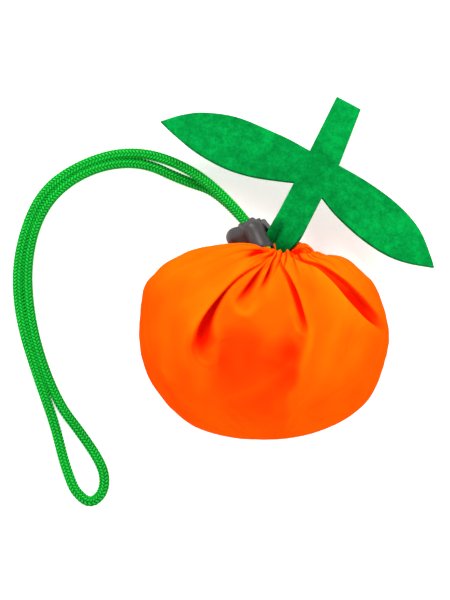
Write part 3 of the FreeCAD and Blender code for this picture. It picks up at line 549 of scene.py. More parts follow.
# Folds of the front panel, seen in plan, in millimetres. The fabric on one side of a fold's line stands up in
# a ridge and hangs over the hollow on its other side: the left, or the right if the side is -1.
# Each point: x, y, height and width of the ridge, depth and width of the hollow, softness of the edge, and
# height of the rim beyond the hollow.
FOLDS = [
    # the long fold on the left, round a deep pocket
    (-1, [
        (5.2, 37.6, 0.2, 1.5, 0.3, 0.7, 0.20, 0.0), (1.2, 34.6, 0.5, 2.0, 1.0, 0.7, 0.18, 0.2),
        (-1.8, 32.1, 0.9, 2.8, 1.3, 0.8, 0.18, 0.4), (-6.6, 29.3, 1.3, 3.6, 1.5, 0.9, 0.20, 0.6),
        (-11.4, 25.9, 1.7, 4.4, 1.8, 1.0, 0.22, 0.8), (-15.6, 21.7, 2.0, 5.2, 2.4, 1.3, 0.24, 0.9),
        (-19.7, 16.9, 2.2, 6.0, 3.8, 2.4, 0.28, 0.8), (-23.8, 11.4, 2.4, 6.6, 5.0, 4.2, 0.36, 0.8),
        (-26.6, 6.5, 2.4, 6.8, 5.0, 6.0, 0.60, 0.8), (-28.4, 1.7, 2.1, 6.8, 4.6, 7.0, 1.40, 0.6),
        (-29.4, -2.4, 1.7, 6.4, 3.6, 7.4, 2.20, 0.4), (-28.3, -6.4, 1.3, 5.8, 2.2, 6.4, 2.40, 0.3),
        (-24.7, -9.6, 0.9, 5.0, 1.2, 5.0, 2.40, 0.2), (-21.1, -10.4, 0.4, 4.5, 0.5, 4.0, 2.40, 0.0),
        (-18.0, -9.6, 0.0, 4.0, 0.0, 3.0, 2.40, 0.0),
    ]),
    # the two short folds beside it
    (-1, [
        (5.6, 37.4, 0.2, 1.2, 0.3, 0.6, 0.20, 0.0), (2.2, 34.2, 0.3, 1.4, 1.0, 0.6, 0.20, 0.1),
        (-1.1, 30.7, 0.5, 1.8, 2.2, 1.2, 0.22, 0.2), (-4.4, 26.8, 0.7, 2.2, 3.4, 2.6, 0.28, 0.5),
        (-7.6, 22.6, 0.8, 2.6, 3.4, 3.4, 0.45, 0.8), (-10.2, 19.0, 0.7, 2.8, 2.4, 2.8, 0.70, 1.0),
        (-12.0, 16.4, 0.4, 2.8, 1.2, 1.8, 1.00, 0.8), (-13.2, 14.6, 0.0, 2.5, 0.0, 1.2, 1.20, 0.3),
    ]),
    (-1, [
        (6.0, 37.2, 0.2, 0.9, 0.3, 0.7, 0.24, 0.0), (3.7, 34.1, 0.4, 1.2, 2.2, 1.1, 0.26, 0.1),
        (1.9, 30.0, 0.6, 1.4, 3.8, 1.9, 0.28, 0.4), (0.4, 26.6, 0.6, 1.6, 3.6, 2.1, 0.34, 0.6),
        (-1.0, 23.6, 0.4, 1.6, 2.0, 1.7, 0.50, 0.6), (-2.2, 21.4, 0.0, 1.4, 0.0, 1.0, 0.80, 0.2),
    ]),
    # the narrow fold down the middle, which runs out in a soft step
    (1, [
        (6.6, 37.2, 0.2, 1.2, 0.3, 0.6, 0.20, 0.0), (6.5, 34.6, 0.5, 1.8, 1.0, 0.6, 0.20, 0.1),
        (7.6, 31.0, 0.9, 2.4, 1.9, 1.1, 0.22, 0.2), (10.0, 27.0, 1.3, 3.0, 3.0, 1.8, 0.24, 0.4),
        (13.2, 20.2, 1.6, 3.6, 4.0, 2.7, 0.28, 0.6), (15.2, 13.8, 1.6, 3.8, 3.8, 2.7, 0.32, 0.9),
        (16.6, 8.6, 1.4, 3.8, 2.8, 2.2, 0.45, 1.0), (17.3, 5.0, 1.1, 3.8, 1.4, 1.5, 0.70, 0.7),
        (16.8, 2.0, 0.9, 4.0, 0.9, 3.4, 1.00, 0.2), (15.6, -2.5, 0.8, 4.8, 1.1, 6.0, 1.00, 0.0),
        (14.3, -9.3, 0.8, 5.2, 1.2, 7.0, 1.10, 0.0), (13.4, -17.6, 0.6, 5.5, 0.9, 7.0, 1.60, 0.0),
        (12.8, -26.0, 0.3, 6.0, 0.4, 7.0, 2.20, 0.0), (12.4, -32.0, 0.0, 6.0, 0.0, 7.0, 2.40, 0.0),
    ]),
    # the long fold on the right, over a wide pocket that opens to the side
    (-1, [
        (6.4, 37.6, 0.2, 1.2, 0.3, 0.7, 0.20, 0.0), (10.8, 35.2, 0.6, 2.2, 1.0, 0.8, 0.22, 0.2),
        (15.9, 32.9, 0.9, 3.2, 1.8, 1.3, 0.24, 0.3), (22.2, 30.2, 1.2, 4.2, 3.0, 2.6, 0.26, 0.4),
        (29.1, 23.6, 1.6, 5.2, 4.4, 4.8, 0.30, 0.5), (33.8, 17.9, 1.8, 5.8, 5.0, 5.8, 0.34, 0.6),
        (40.3, 11.0, 1.8, 6.0, 4.8, 5.6, 0.44, 0.6), (45.0, 7.4, 1.3, 5.2, 3.4, 4.0, 0.60, 0.5),
        (48.6, 4.6, 0.6, 4.2, 1.2, 2.6, 1.20, 0.2), (50.6, 2.6, 0.0, 4.0, 0.0, 2.0, 1.50, 0.0),
    ]),
    # small pockets on each side of the stem
    (1, [
        (3.6, 37.6, 0.3, 1.2, 0.8, 0.8, 0.26, 0.0), (0.5, 36.7, 0.7, 1.6, 2.8, 1.8, 0.28, 0.0),
        (-3.3, 35.7, 0.9, 2.0, 3.4, 2.6, 0.36, 0.3), (-6.5, 35.0, 0.6, 2.2, 1.8, 2.2, 0.70, 0.3),
        (-9.6, 34.7, 0.0, 2.4, 0.0, 1.6, 1.20, 0.0),
    ]),
    (-1, [
        (7.8, 37.6, 0.3, 1.2, 0.8, 0.8, 0.26, 0.0), (11.6, 37.0, 0.7, 1.6, 2.8, 1.6, 0.28, 0.2),
        (15.6, 36.9, 0.9, 2.0, 3.4, 2.2, 0.36, 0.5), (19.4, 36.9, 0.6, 2.2, 1.8, 2.0, 0.70, 0.3),
        (22.4, 36.0, 0.0, 2.2, 0.0, 1.6, 1.20, 0.0),
    ]),
    # the soft edge of the folded bag's left side
    (-1, [
        (-18.2, 0.0, 0.0, 2.4, 0.0, 2.5, 0.8, 0.0), (-18.6, -5.0, 0.5, 2.6, 0.6, 3.0, 0.8, 0.0),
        (-19.0, -11.0, 0.5, 2.8, 0.6, 3.5, 1.0, 0.0), (-17.6, -18.0, 0.0, 3.0, 0.0, 3.5, 1.6, 0.0),
    ]),
]
# Soft ridges and, where the height is below zero, soft grooves: x, y, height, half width.
PUFFS = [
    # the pocket's outer groove and its inner rim
    [(-28.6, 9.0, 0.0, 1.2), (-30.9, 2.0, -0.6, 1.1), (-31.4, -4.0, -0.7, 1.1), (-29.8, -9.2, -0.5, 1.3),
     (-26.0, -12.6, 0.0, 1.5)],
    [(-27.0, 4.0, 0.0, 1.3), (-27.8, -2.0, 0.9, 1.2), (-26.4, -6.6, 1.2, 1.2), (-23.2, -8.6, 0.9, 1.3),
     (-20.2, -7.0, 0.0, 1.3)],
    [(-13.8, 21.4, 0.0, 1.8), (-13.2, 16.6, 1.1, 1.8), (-10.6, 12.2, 1.6, 2.0), (-6.8, 11.4, 1.5, 2.0),
     (-3.6, 14.4, 1.1, 2.4), (1.4, 18.8, 0.8, 3.0), (5.4, 24.0, 0.0, 3.0)],
    [(9.6, 15.6, 0.0, 1.1), (11.0, 11.0, 0.9, 1.1), (13.2, 5.6, 1.2, 1.2), (15.8, 3.1, 1.1, 1.2),
     (18.0, 4.4, 0.0, 1.2)],
    [(19.6, 9.0, 0.0, 1.8), (19.2, 2.0, 0.9, 1.7), (18.0, -5.0, 0.9, 2.0), (16.8, -12.0, 0.0, 2.4)],
    [(31.0, 14.0, 0.0, 4.0), (29.0, 2.0, 0.8, 3.6), (25.0, -12.0, 0.7, 4.0), (20.0, -24.0, 0.0, 4.0)],
    [(42.0, 6.0, 0.0, 3.4), (38.0, -6.0, 0.8, 3.6), (31.0, -18.0, 0.0, 4.0)],
    [(-36.0, 22.0, 0.0, 5.0), (-41.0, 10.0, 0.8, 4.6), (-41.0, -2.0, 0.7, 4.6), (-37.0, -14.0, 0.0, 5.0)],
    [(1.0, 4.0, 0.0, 4.0), (0.0, -6.0, 0.5, 4.0), (0.0, -16.0, 0.5, 4.4), (1.0, -28.0, 0.0, 5.0)],
    [(-10.0, 2.0, 0.0, 3.0), (-10.8, -8.0, 0.5, 3.0), (-9.0, -20.0, 0.0, 3.4)],
    [(-28.0, -12.0, 0.0, 4.0), (-25.0, -20.0, 0.7, 4.0), (-18.0, -28.0, 0.0, 5.0)],
    [(-8.0, 35.8, 0.0, 2.0), (-2.6, 34.2, 0.7, 1.4), (2.6, 35.6, 0.4, 1.0), (4.6, 37.0, 0.0, 1.0)],
]
MILLIMETRE = 0.001
FOLD_SAMPLES = 64
FOLD_REACH = 0.024                                        # a fold moves nothing farther off than this
NEARBY = 0.0009                                           # how far along a fold its sizes are averaged
WALL = 3.0                                                # softness of a hollow's far wall, for its edge's
ROLL = 0.34                                               # a crisp edge's overhang, for its hollow's depth
CRISP = 0.0009                                            # an edge softer than this hardly hangs over
FOLD_FADE = 0.0015                                        # how far past its ends a fold fades out
OVERHANG = 0.8                                            # share of an overhang that its edge moves by
WALL_LEAST, WALL_MOST = 0.0007, 0.0040                    # half width of a hollow's far wall
NEAR_EDGE = 0.0025                                        # a hollow's painted shade is darkest this near its edge
SEAM_REACH = 0.006                                        # how near a seam the folds fade out
PANEL_WIDE = 0.15                                         # from seam to seam
FULL_DEPTH = 0.0046                                       # a hollow this deep has the folds' full painted shade


def along_fold(x, y, route):
    """Distance from a fold's line, above zero on its left, how far it holds, its sizes and its direction."""
    line = curve_through(np.array(route) * MILLIMETRE, FOLD_SAMPLES)
    ahead = unit(np.gradient(line[:, :2], axis=0))
    gap_x, gap_y = x[:, None] - line[:, 0], y[:, None] - line[:, 1]
    far = np.hypot(gap_x, gap_y)
    near = far.argmin(axis=1)
    rows = np.arange(len(x))
    weight = np.exp((far[rows, near][:, None] - far) / NEARBY)
    weight = weight / weight.sum(axis=1, keepdims=True)
    heading = ahead[near]
    across = heading[:, 0] * gap_y[rows, near] - heading[:, 1] * gap_x[rows, near]
    past = heading[:, 0] * gap_x[rows, near] + heading[:, 1] * gap_y[rows, near]
    beyond = np.where(((near == 0) & (past < 0)) | ((near == FOLD_SAMPLES - 1) & (past > 0)), past, 0.0)
    return across, np.exp(-(beyond / FOLD_FADE) ** 2), (weight @ line[:, 2:]).T, heading


def reached(points, power, route):
    """The points that a fold can move."""
    line = np.array(route)[:, :2] * MILLIMETRE
    low, high = line.min(axis=0) - FOLD_REACH, line.max(axis=0) + FOLD_REACH
    return ((points[:, :2] > low) & (points[:, :2] < high)).all(axis=1) & (power > 0)


def front_folds(points, normals, body, seam):
    """Moves the front panel's points into its folds, and gives how deep and how proud each lies, for the
    painted shade in its hollows and painted highlight on its ridges.
    """
    start = points.copy()
    facing = smooth_step(-0.08, 0.16, normals[:, 2]) * smooth_step(0.0, 0.02, body)
    facing = facing * smooth_step(0.0, SEAM_REACH, seam)
    lift, depth, pride = (np.zeros(len(points)) for _ in range(3))
    slide = np.zeros_like(points)
    for side_up, route in FOLDS:
        at = reached(start, facing, route)
        across, held, sizes, heading = along_fold(start[at, 0], start[at, 1], route)
        ridge, ridge_wide, hollow, hollow_wide, soft, rim = sizes
        hang = ROLL * hollow * np.exp(-(soft / CRISP) ** 2)
        across = across * side_up - OVERHANG * hang
        over = 0.5 * (1 + np.tanh(across / soft))
        wall = np.clip(WALL * soft, WALL_LEAST, WALL_MOST)
        floor = 1 - smooth_step(hollow_wide - wall, hollow_wide + wall, -across)
        up = ridge * np.exp(-(across / ridge_wide) ** 2) * over
        up = up + rim * np.exp(-((-across - hollow_wide - 1.3 * wall) / (2 * wall)) ** 2) * (1 - over)
        down = hollow * floor * (1 - over)
        out = hang * over * np.exp(-(across / (0.6 * ridge_wide)) ** 2) * held * facing[at] * side_up
        slide[at, 0] += heading[:, 1] * out
        slide[at, 1] -= heading[:, 0] * out
        lift[at] += up * held * facing[at]
        slide[at, 2] -= down * held * facing[at]
        # painted shade in the hollow, darkest near its edge
        shade = down * (0.55 + 0.45 * np.exp(-np.abs(across) / NEAR_EDGE)) * held * facing[at] / FULL_DEPTH
        depth[at] = np.maximum(depth[at], shade)
        # painted highlight on the ridge
        pride[at] = np.maximum(pride[at], up * held * facing[at] / FULL_DEPTH)
    for route in PUFFS:
        at = reached(start, facing, route)
        across, held, (height, wide), _ = along_fold(start[at, 0], start[at, 1], route)
        up = height * np.exp(-(across / wide) ** 2) * held * facing[at]
        lift[at] += up
        # painted highlight on a puff's ridge, painted shade in a groove
        pride[at] += up / FULL_DEPTH
    return points + normals * lift[:, None] + slide, depth, pride


def gathers(angle, count, seed):
    """Uneven pleats round the mouth with sharp valleys, between -1 and 1."""
    draw = np.random.default_rng(seed)
    swing = sum(a * np.sin(k * angle + p) for k, a, p in zip((1, 2, 3, 5), (0.9, 0.7, 0.5, 0.3),
                                                            draw.uniform(0, math.tau, 4)))
    return 2 * (0.5 + 0.5 * np.cos(count * angle + 1.3 * swing)) ** 0.55 - 1


def creases(u, v, count, seed):
    """Short soft creases at random over a panel, by its map in metres: how high each point lies on them."""
    draw = np.random.default_rng(seed)
    height = np.zeros_like(u)
    for _ in range(count):
        at_u, at_v = draw.uniform(u.min(), u.max()), draw.uniform(0.030, 0.125)
        turn = draw.normal(0.0, 0.55)
        long, wide, high = draw.uniform(0.005, 0.014), draw.uniform(0.0008, 0.0022), draw.uniform(0.3, 1.0)
        bend = draw.uniform(-18.0, 18.0)
        off_u, off_v = u - at_u, v - at_v
        along = off_v * math.cos(turn) + off_u * math.sin(turn)
        across = off_u * math.cos(turn) - off_v * math.sin(turn) + bend * along ** 2
        one_side = np.where(across > 0, wide, wide * 1.9)
        height += high * draw.choice((-0.7, 1.0)) * np.exp(-(along / long) ** 2 - (across / one_side) ** 2)
    return height


def surface_normals(points, columns, rows):
    """Normals of a grid of points, outwards."""
    grid = points.reshape(rows + 1, columns + 1, 3)
    along = np.gradient(grid, axis=0)
    across = np.gradient(grid, axis=1)
    return unit(np.cross(across, along)).reshape(-1, 3)


def relax(points, columns, rows, rounds):
    """The same grid with its small kinks smoothed out and its border kept."""
    grid = points.reshape(rows + 1, columns + 1, 3).copy()
    for _ in range(rounds):
        around = (grid[:-2, 1:-1] + grid[2:, 1:-1] + grid[1:-1, :-2] + grid[1:-1, 2:]) / 4
        grid[1:-1, 1:-1] += 0.5 * (around - grid[1:-1, 1:-1])
    return grid.reshape(-1, 3)


# Painted light and shade in the front panel's tone: redder in painted shade over its lower middle and left,
# lighter in painted light near its top and right.
# Each patch: left, right, bottom and top edge, softness of each of them, and the change.
PAINTED_LIGHT_PATCHES = [
    ((-20.0, 13.6, -27.0, 6.0), (8.0, 2.0, 17.0, 8.0), 0.22),
    ((-18.0, 11.4, -20.0, 3.0), (7.0, 5.0, 16.0, 8.0), 0.14),
    ((-27.0, -14.0, -24.0, -6.0), (5.0, 6.0, 8.0, 4.0), 0.14),
    ((-60.0, -26.0, -60.0, 16.0), (5.0, 7.0, 5.0, 14.0), 0.12),
    ((-60.0, 60.0, 27.0, 60.0), (5.0, 5.0, 9.0, 5.0), -0.14),
    ((19.0, 44.0, -20.0, 30.0), (3.0, 10.0, 10.0, 8.0), -0.08),
]
PLAIN_TONE = 0.45
HOLLOW_SHADE, RIDGE_HIGHLIGHT, CREASE_SHADING = 0.90, 0.55, 0.07   # how much painted shade in hollows, painted highlight on ridges, and painted shade and highlight on creases change the tone
# Small hollows beside the stem, in shade: x, y, half length, half width, slope, and change
SHADES = [
    (-3.6, 37.3, 3.0, 1.2, 0.35, 0.85), (-2.2, 35.9, 3.4, 0.5, 0.55, 0.35),
    (13.6, 38.0, 3.0, 1.4, 0.16, 0.90),
]


# Painted light and shade in the front panel's tone: its patches, the shaded hollows beside the stem, painted
# shade in hollows and painted highlight on ridges.
def painted_fabric_shading(points, depth, pride):
    tone = np.full(len(points), PLAIN_TONE)
    x, y = points[:, 0] / MILLIMETRE, points[:, 1] / MILLIMETRE
    uneven_x = x + 1.8 * np.sin(y / 4.7 + 0.7) + 0.8 * np.sin(y / 2.1)
    uneven_y = y + 3.0 * np.sin(x / 5.1 + 1.0) + np.sin(x / 2.3)
    for (left, right, bottom, top), (soft_left, soft_right, soft_bottom, soft_top), change in PAINTED_LIGHT_PATCHES:
        patch = smooth_step(left - soft_left, left + soft_left, uneven_x)
        patch = patch * (1 - smooth_step(right - soft_right, right + soft_right, uneven_x - 0.1 * uneven_y))
        patch = patch * smooth_step(bottom - soft_bottom, bottom + soft_bottom, uneven_y)
        tone += change * patch * (1 - smooth_step(top - soft_top, top + soft_top, uneven_y))
    for middle_x, middle_y, long, wide, slope, change in SHADES:
        off_x, off_y = x - middle_x, y - middle_y - slope * (x - middle_x)
        tone += change * np.exp(-(off_x / long) ** 2 - (off_y / wide) ** 2) * (points[:, 2] > FAR_HEIGHT)
    return tone + HOLLOW_SHADE * np.clip(depth, 0, 1) ** 1.1 - RIDGE_HIGHLIGHT * pride


# Pleats round the mouth: how many there are, and the seed that makes them uneven.
WIDE_PLEATS, FINE_PLEATS, BACK_PLEATS = (13, 4), (31, 9), (9, 12)
PLEAT_NEAR, PLEAT_BEYOND, FINE_PLEAT, BACK_PLEAT = 0.00075, 0.0004, 0.00062, 0.0016     # heights
PLEAT_INWARD = -0.0008                                    # no valley goes deeper than this, to clear the cord
FRONT_CREASES, BACK_CREASES = (90, 21), (70, 22)          # how many, and the seed that places them
CREASE = 0.00042                                          # height of the creases
GROOVE, GROOVE_WIDE = -0.0006, 0.0009                     # along a seam
PUCKER, PUCKER_REACH = 0.00012, 0.0035                    # beside a seam
MAP_ROUND, MAP_ALONG = 0.042, 0.135                       # metres of map for one radian, and from end to end
PANEL_MIDDLE = np.array((0.0, 0.0, 0.027))


def mouth_pleats(angle, share, body):
    """Height of the pleats round the mouth, and how deep each point lies in a fine one."""
    near = np.exp(-(body / 0.10) ** 1.2) * smooth_step(0.0, BODY_START * 0.6, share)
    beyond = np.exp(-((body - 0.2) / 0.15) ** 2)
    pleats = gathers(angle, *WIDE_PLEATS) * (PLEAT_NEAR * near + PLEAT_BEYOND * beyond)
    close = np.exp(-(body / 0.075) ** 1.2) * smooth_step(0.0, BODY_START * 0.5, share)
    fine = gathers(angle, *FINE_PLEATS)
    rolled = 0.45 + 0.55 * smooth_step(BODY_START * 0.7, BODY_START * 1.3, share)
    height = np.maximum(pleats + FINE_PLEAT * fine * close * rolled, PLEAT_INWARD)
    return height, np.clip(-fine, 0, 1) * 1.3 * close


def back_folds(points, normals, angle, body, seam):
    """Moves the back panel's points into its pleats, and gives their tone, with painted shade in the pleats'
    valleys.
    """
    far = np.exp(-((body - 0.12) / 0.13) ** 2) * smooth_step(0.0, SEAM_REACH, seam)
    pleat = gathers(angle, *BACK_PLEATS)
    points = points + normals * (pleat * BACK_PLEAT * far)[:, None]
    return points, PLAIN_TONE - 0.05 + 0.35 * np.clip(-pleat, 0, 1) * far


def seam_relief(share, body, seam):
    """The groove along a seam, and the puckers beside it."""
    groove = GROOVE * np.exp(-(seam / GROOVE_WIDE) ** 2) * smooth_step(0.05, 0.15, body)
    pucker = PUCKER * np.sin(share * 130 + 3 * np.sin(share * 23)) * np.exp(-(seam / PUCKER_REACH) ** 1.3)
    return groove + pucker * smooth_step(0.05, 0.2, body)


def pouch_panel(name, settings, start, columns, front):
    """One panel, from one seam round to the other."""
    rows = settings.rows
    bm, u, v = grid_mesh(columns, rows)
    order = np.lexsort((np.rint(u * columns), np.rint(v * rows)))
    angle, share = start + math.pi * u[order], v[order]
    points = pouch_surface(angle, share, settings.sleeve)
    normals = surface_normals(points, columns, rows)
    normals = normals * np.sign(((points - PANEL_MIDDLE) * normals).sum(1).mean())
    body = np.clip((share - BODY_START) / (1 - BODY_START), 0, 1)
    seam = np.minimum(u[order], 1 - u[order]) * PANEL_WIDE
    pleats, valley = mouth_pleats(angle, share, body)
    points = points + normals * pleats[:, None]
    map_u, map_v = angle * MAP_ROUND, share * MAP_ALONG
    crumple = creases(map_u, map_v, *(FRONT_CREASES if front else BACK_CREASES))
    crumple = crumple * smooth_step(0.0, SEAM_REACH, seam)
    points = points + normals * (CREASE * crumple * smooth_step(0.05, 0.2, body))[:, None]
    if front:
        points, depth, pride = front_folds(points, normals, body, seam)
        points = relax(points, columns, rows, settings.smoothing)
        # painted shade in the fine pleats' valleys and in the hollows, painted highlight on the ridges
        tone = painted_fabric_shading(points, np.maximum(depth, valley), pride)
    else:
        points, tone = back_folds(points, normals, angle, body, seam)
    points = points + normals * seam_relief(share, body, seam)[:, None]
    points[:, 2] = np.maximum(points[:, 2], settings.rest_height)
    back_to_bm = np.empty_like(order)
    back_to_bm[order] = np.arange(len(order))
    move_points(bm, points[back_to_bm])
    add_weave_map(bm, map_u[back_to_bm], map_v[back_to_bm])
    # painted shade and highlight along the creases
    store_values(bm, "tone", (tone - CREASE_SHADING * crumple)[back_to_bm])
    bmesh.ops.remove_doubles(bm, verts=bm.verts, dist=1e-6)
    bmesh.ops.recalc_face_normals(bm, faces=bm.faces)
    return new_object(name, bm)


def fabric_finish(settings):
    finish = Finish("orange taffeta", Roughness=0.45, Specular_IOR_Level=0.0)
    drift = finish.noise(45.0, 2.0)
    tone = (finish.attribute("tone") + (drift - 0.5) * 0.22).clamp()
    # Painted light at the ramp's low end, painted shade at its high end and deepest in the folds; the drift
    # is random tone.
    stops = [(0.0, settings.painted_light_colour), (0.34, settings.fabric_colour), (0.68, settings.painted_shade_colour),
             (1.0, settings.fold_shade_colour)]
    finish.set("Base Color", finish.ramp(tone, stops))
    u, v = finish.split(finish.weave_map())
    crumple = finish.bump(finish.noise(95.0, 3.0, 0.55), 0.0016, 0.35)
    finish.set("Normal", finish.bump(finish.threads(THREAD_PITCH, u, v), 0.00002, 0.5, crumple))
    finish.set("Roughness", finish.noise(160.0, 3.0) * 0.10 + 0.40)
    return finish


class CITRUS_OT_pouch(bpy.types.Operator):
    """Shape the pouch's two gathered panels, with the channel that holds the cord"""
    bl_idname = "citrus.pouch"
    bl_label = "Pouch"

    def execute(self, context):
        settings = context.scene.citrus_pouch
        finish = fabric_finish(settings)
        front = pouch_panel("front_panel", settings, 0.0, settings.columns, True)
        back = pouch_panel("back_panel", settings, math.pi, settings.columns // 2, False)
        finish.put_on(front, back)
        for obj in (front, back):
            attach(obj, "pouch")
        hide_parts("pouch_front_panel", "drawcord_channel", "channel_stitching")
        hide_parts("pouch_back_panel", "edge_overlock_seam")
        return {"FINISHED"}


# --- the felt leaf ----------------------------------------------------------------------------------
# Across and along the stem. Each leaf is two curves that meet at its tip.
LEFT_UPPER = [(-0.0056, 0.0369), (-0.0198, 0.0379), (-0.0384, 0.0371), (-0.0522, 0.0327), (-0.0605, 0.0276),
              (-0.0678, 0.0209)]
LEFT_LOWER = [(-0.0060, 0.0211), (-0.0118, 0.0190), (-0.0232, 0.0157), (-0.0355, 0.0140), (-0.0489, 0.0149),
              (-0.0605, 0.0181), (-0.0678, 0.0209)]
RIGHT_UPPER = [(0.0083, 0.0364), (0.0203, 0.0353), (0.0338, 0.0330), (0.0441, 0.0295), (0.0522, 0.0245),
               (0.0595, 0.0168), (0.0625, 0.0130)]
RIGHT_LOWER = [(0.0075, 0.0201), (0.0153, 0.0159), (0.0251, 0.0123), (0.0349, 0.0101), (0.0436, 0.0093),
               (0.0520, 0.0102), (0.0625, 0.0130)]
STEM_LEFT = [(-0.0026, -0.0114), (-0.0060, -0.0084), (-0.0070, -0.0030), (-0.0060, 0.0211), (-0.0056, 0.0369),
             (-0.0048, 0.0652)]
STEM_RIGHT = [(0.0006, -0.0114), (0.0038, -0.0080), (0.0064, 0.0), (0.0075, 0.0201), (0.0083, 0.0364),
              (0.0068, 0.0645)]


CREASE_LEFT = 0.0030                                      # of the foot's crease from the stem's middle
FOOT_CREASE, FOOT_CURL, FOOT_DROP = 0.0026, 0.0024, 0.004     # how deep, how high its edges, how far down


def felt_strip(bm, low, high, columns, rows):
    """A strip of faces between two curves of points."""
    first = len(bm.verts)
    bmesh.ops.create_grid(bm, x_segments=columns, y_segments=rows, size=0.5)
    bm.verts.ensure_lookup_table()
    lower, upper = curve_through(low, columns + 1), curve_through(high, columns + 1)
    for vert in bm.verts[first:]:
        column = round((vert.co.x + 0.5) * columns)
        share = vert.co.y + 0.5
        place = lower[column] * (1 - share) + upper[column] * share
        vert.co = (place[0], place[1], 0.0)


def leaf_place(u, v, settings):
    """Where a point of the flat felt lies, once its leaves droop and its foot is pinched into the mouth."""
    reach = np.clip((np.abs(u) - 0.006) / 0.060, 0, 1)
    lift = -settings.droop * reach ** 2 + 0.0006 * np.sin(u * 95 + 0.6) * smooth_step(0.008, 0.03, np.abs(u))
    lift = lift + 0.0010 * np.sin((v - 0.02) * 48) * smooth_step(0.0, 0.03, v)
    pinch = 1 - smooth_step(-0.008, 0.008, v)
    crease = -FOOT_CREASE * np.exp(-((u + CREASE_LEFT) / 0.0016) ** 2) * (1 - smooth_step(-0.006, 0.004, v))
    curl = FOOT_CURL * (u / 0.0066) ** 2 * pinch
    foot = -FOOT_DROP * (1 - smooth_step(-0.0115, -0.004, v))
    return lift + crease + curl + foot - 0.001 * pinch


def felt_shade_and_ends(u, v):
    """Painted shade on the felt at its foot, where it goes into the mouth, and along its crease, and how much
    lighter it is towards its ends.
    """
    foot = 0.55 * (1 - smooth_step(-0.011, 0.008, v))
    crease = np.exp(-((u + CREASE_LEFT + 0.04 * v) / 0.0017) ** 2) * (1 - smooth_step(-0.002, 0.006, v))
    pressed = np.where(np.abs(u) < 0.009, np.maximum(foot, 0.95 * crease), 0.0)
    worn = np.maximum(smooth_step(0.012, 0.064, np.abs(u)), smooth_step(0.035, 0.062, v))
    return pressed, worn


class CITRUS_OT_leaf(bpy.types.Operator):
    """Cut the stem and its two leaves from one sheet of felt, and pinch its foot into the mouth"""
    bl_idname = "citrus.leaf"
    bl_label = "Felt leaf"

    def execute(self, context):
        settings = context.scene.citrus_leaf
        bm = bmesh.new()
        for low, high, columns, rows in (
                (STEM_LEFT[:4], STEM_RIGHT[:4], 56, 22), (STEM_LEFT[3:5], STEM_RIGHT[3:5], 28, 22),
                (STEM_LEFT[4:], STEM_RIGHT[4:], 50, 22), (LEFT_LOWER, LEFT_UPPER, 100, 28),
                (RIGHT_LOWER, RIGHT_UPPER, 92, 28)):
            felt_strip(bm, low, high, columns, rows)
        bmesh.ops.remove_doubles(bm, verts=bm.verts, dist=0.00004)
        flat = np.array([v.co[:2] for v in bm.verts])
        lift = leaf_place(flat[:, 0], flat[:, 1], settings)
        places = (STEM_ROOT + STEM_ACROSS * flat[:, :1] + STEM_ALONG * flat[:, 1:]
                  + STEM_NORMAL * lift[:, None])
        move_points(bm, places)
        bmesh.ops.recalc_face_normals(bm, faces=bm.faces)
        pressed, worn = felt_shade_and_ends(flat[:, 0], flat[:, 1])
        # painted shade at the felt's foot and along its crease
        store_values(bm, "pressed", pressed)
        store_values(bm, "worn", worn)
        leaf = new_object("felt_leaves_and_stem", bm)
        solid = leaf.modifiers.new("felt", "SOLIDIFY")
        solid.thickness = settings.thickness
        solid.offset = 0.0
        solid.use_even_offset = True
        bevel = leaf.modifiers.new("soft edge", "BEVEL")
        bevel.width = settings.thickness * 0.42
        bevel.segments = 3
        bevel.limit_method = "ANGLE"
        felt_finish(settings).put_on(leaf)
        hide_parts("felt_leaf", "felt_stem_base", "stem_stitching")
        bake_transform(leaf)
        return {"FINISHED"}


def felt_finish(settings):
    finish = Finish("green felt", Roughness=0.95, Specular_IOR_Level=0.02)
    green = Vector(settings.green)
    tufts = finish.noise(850.0, 5.0, 0.65)
    clouds = finish.noise(260.0, 3.0, 0.6)
    patches = finish.noise(75.0, 2.0)
    tone = tufts * 0.45 + clouds * 0.45 + patches * 0.35 - 0.125
    # a little lighter towards the leaves' tips and the stem's end
    tone = tone + finish.attribute("worn") * 0.05 - 0.02
    unshaded_felt = finish.ramp(tone, [(0.36, green * 0.70), (0.5, green), (0.66, green * 1.50)])
    # painted shade at the foot and along the crease
    dark = finish.ramp(tone, [(0.40, green * 0.16), (0.60, green * 0.42)])
    finish.set("Base Color", finish.mix(finish.attribute("pressed"), unshaded_felt, dark))
    rough = finish.noise(1500.0, 4.0, 0.7) + tufts * 1.4
    finish.set("Normal", finish.bump(rough, 0.00028, 0.8))
    return finish


# --- the cord lock ----------------------------------------------------------------------------------
def plastic_finish(settings):
    finish = Finish("satin plastic", Roughness=0.48)
    plastic = Vector(settings.plastic)
    drift = finish.noise(250.0, 3.0)
    finish.set("Base Color", finish.ramp(drift, [(0.35, plastic * 0.8), (0.65, plastic * 1.25)]))
    finish.set("Roughness", finish.noise(700.0, 3.0) * 0.12 + 0.42)
    finish.set("Normal", finish.bump(finish.noise(3500.0, 2.0), 0.00003, 0.5))
    return finish


def softened(name, node, voxel, rounds):
    """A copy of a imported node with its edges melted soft, as a moulding's are."""
    bm = bmesh.new()
    bm.from_mesh(frame["nodes"][node].data)
    bmesh.ops.remove_doubles(bm, verts=bm.verts, dist=1e-6)
    copy = new_object(name, bm)
    remesh = copy.modifiers.new("remesh", "REMESH")
    remesh.mode = "VOXEL"
    remesh.voxel_size = voxel
    smooth = copy.modifiers.new("smooth", "SMOOTH")
    smooth.factor = 0.5
    smooth.iterations = rounds
    bpy.context.view_layer.update()
    made = bpy.data.meshes.new_from_object(copy.evaluated_get(bpy.context.evaluated_depsgraph_get()))
    copy.modifiers.clear()
    copy.data = made
    for polygon in made.polygons:
        polygon.use_smooth = True
    return copy


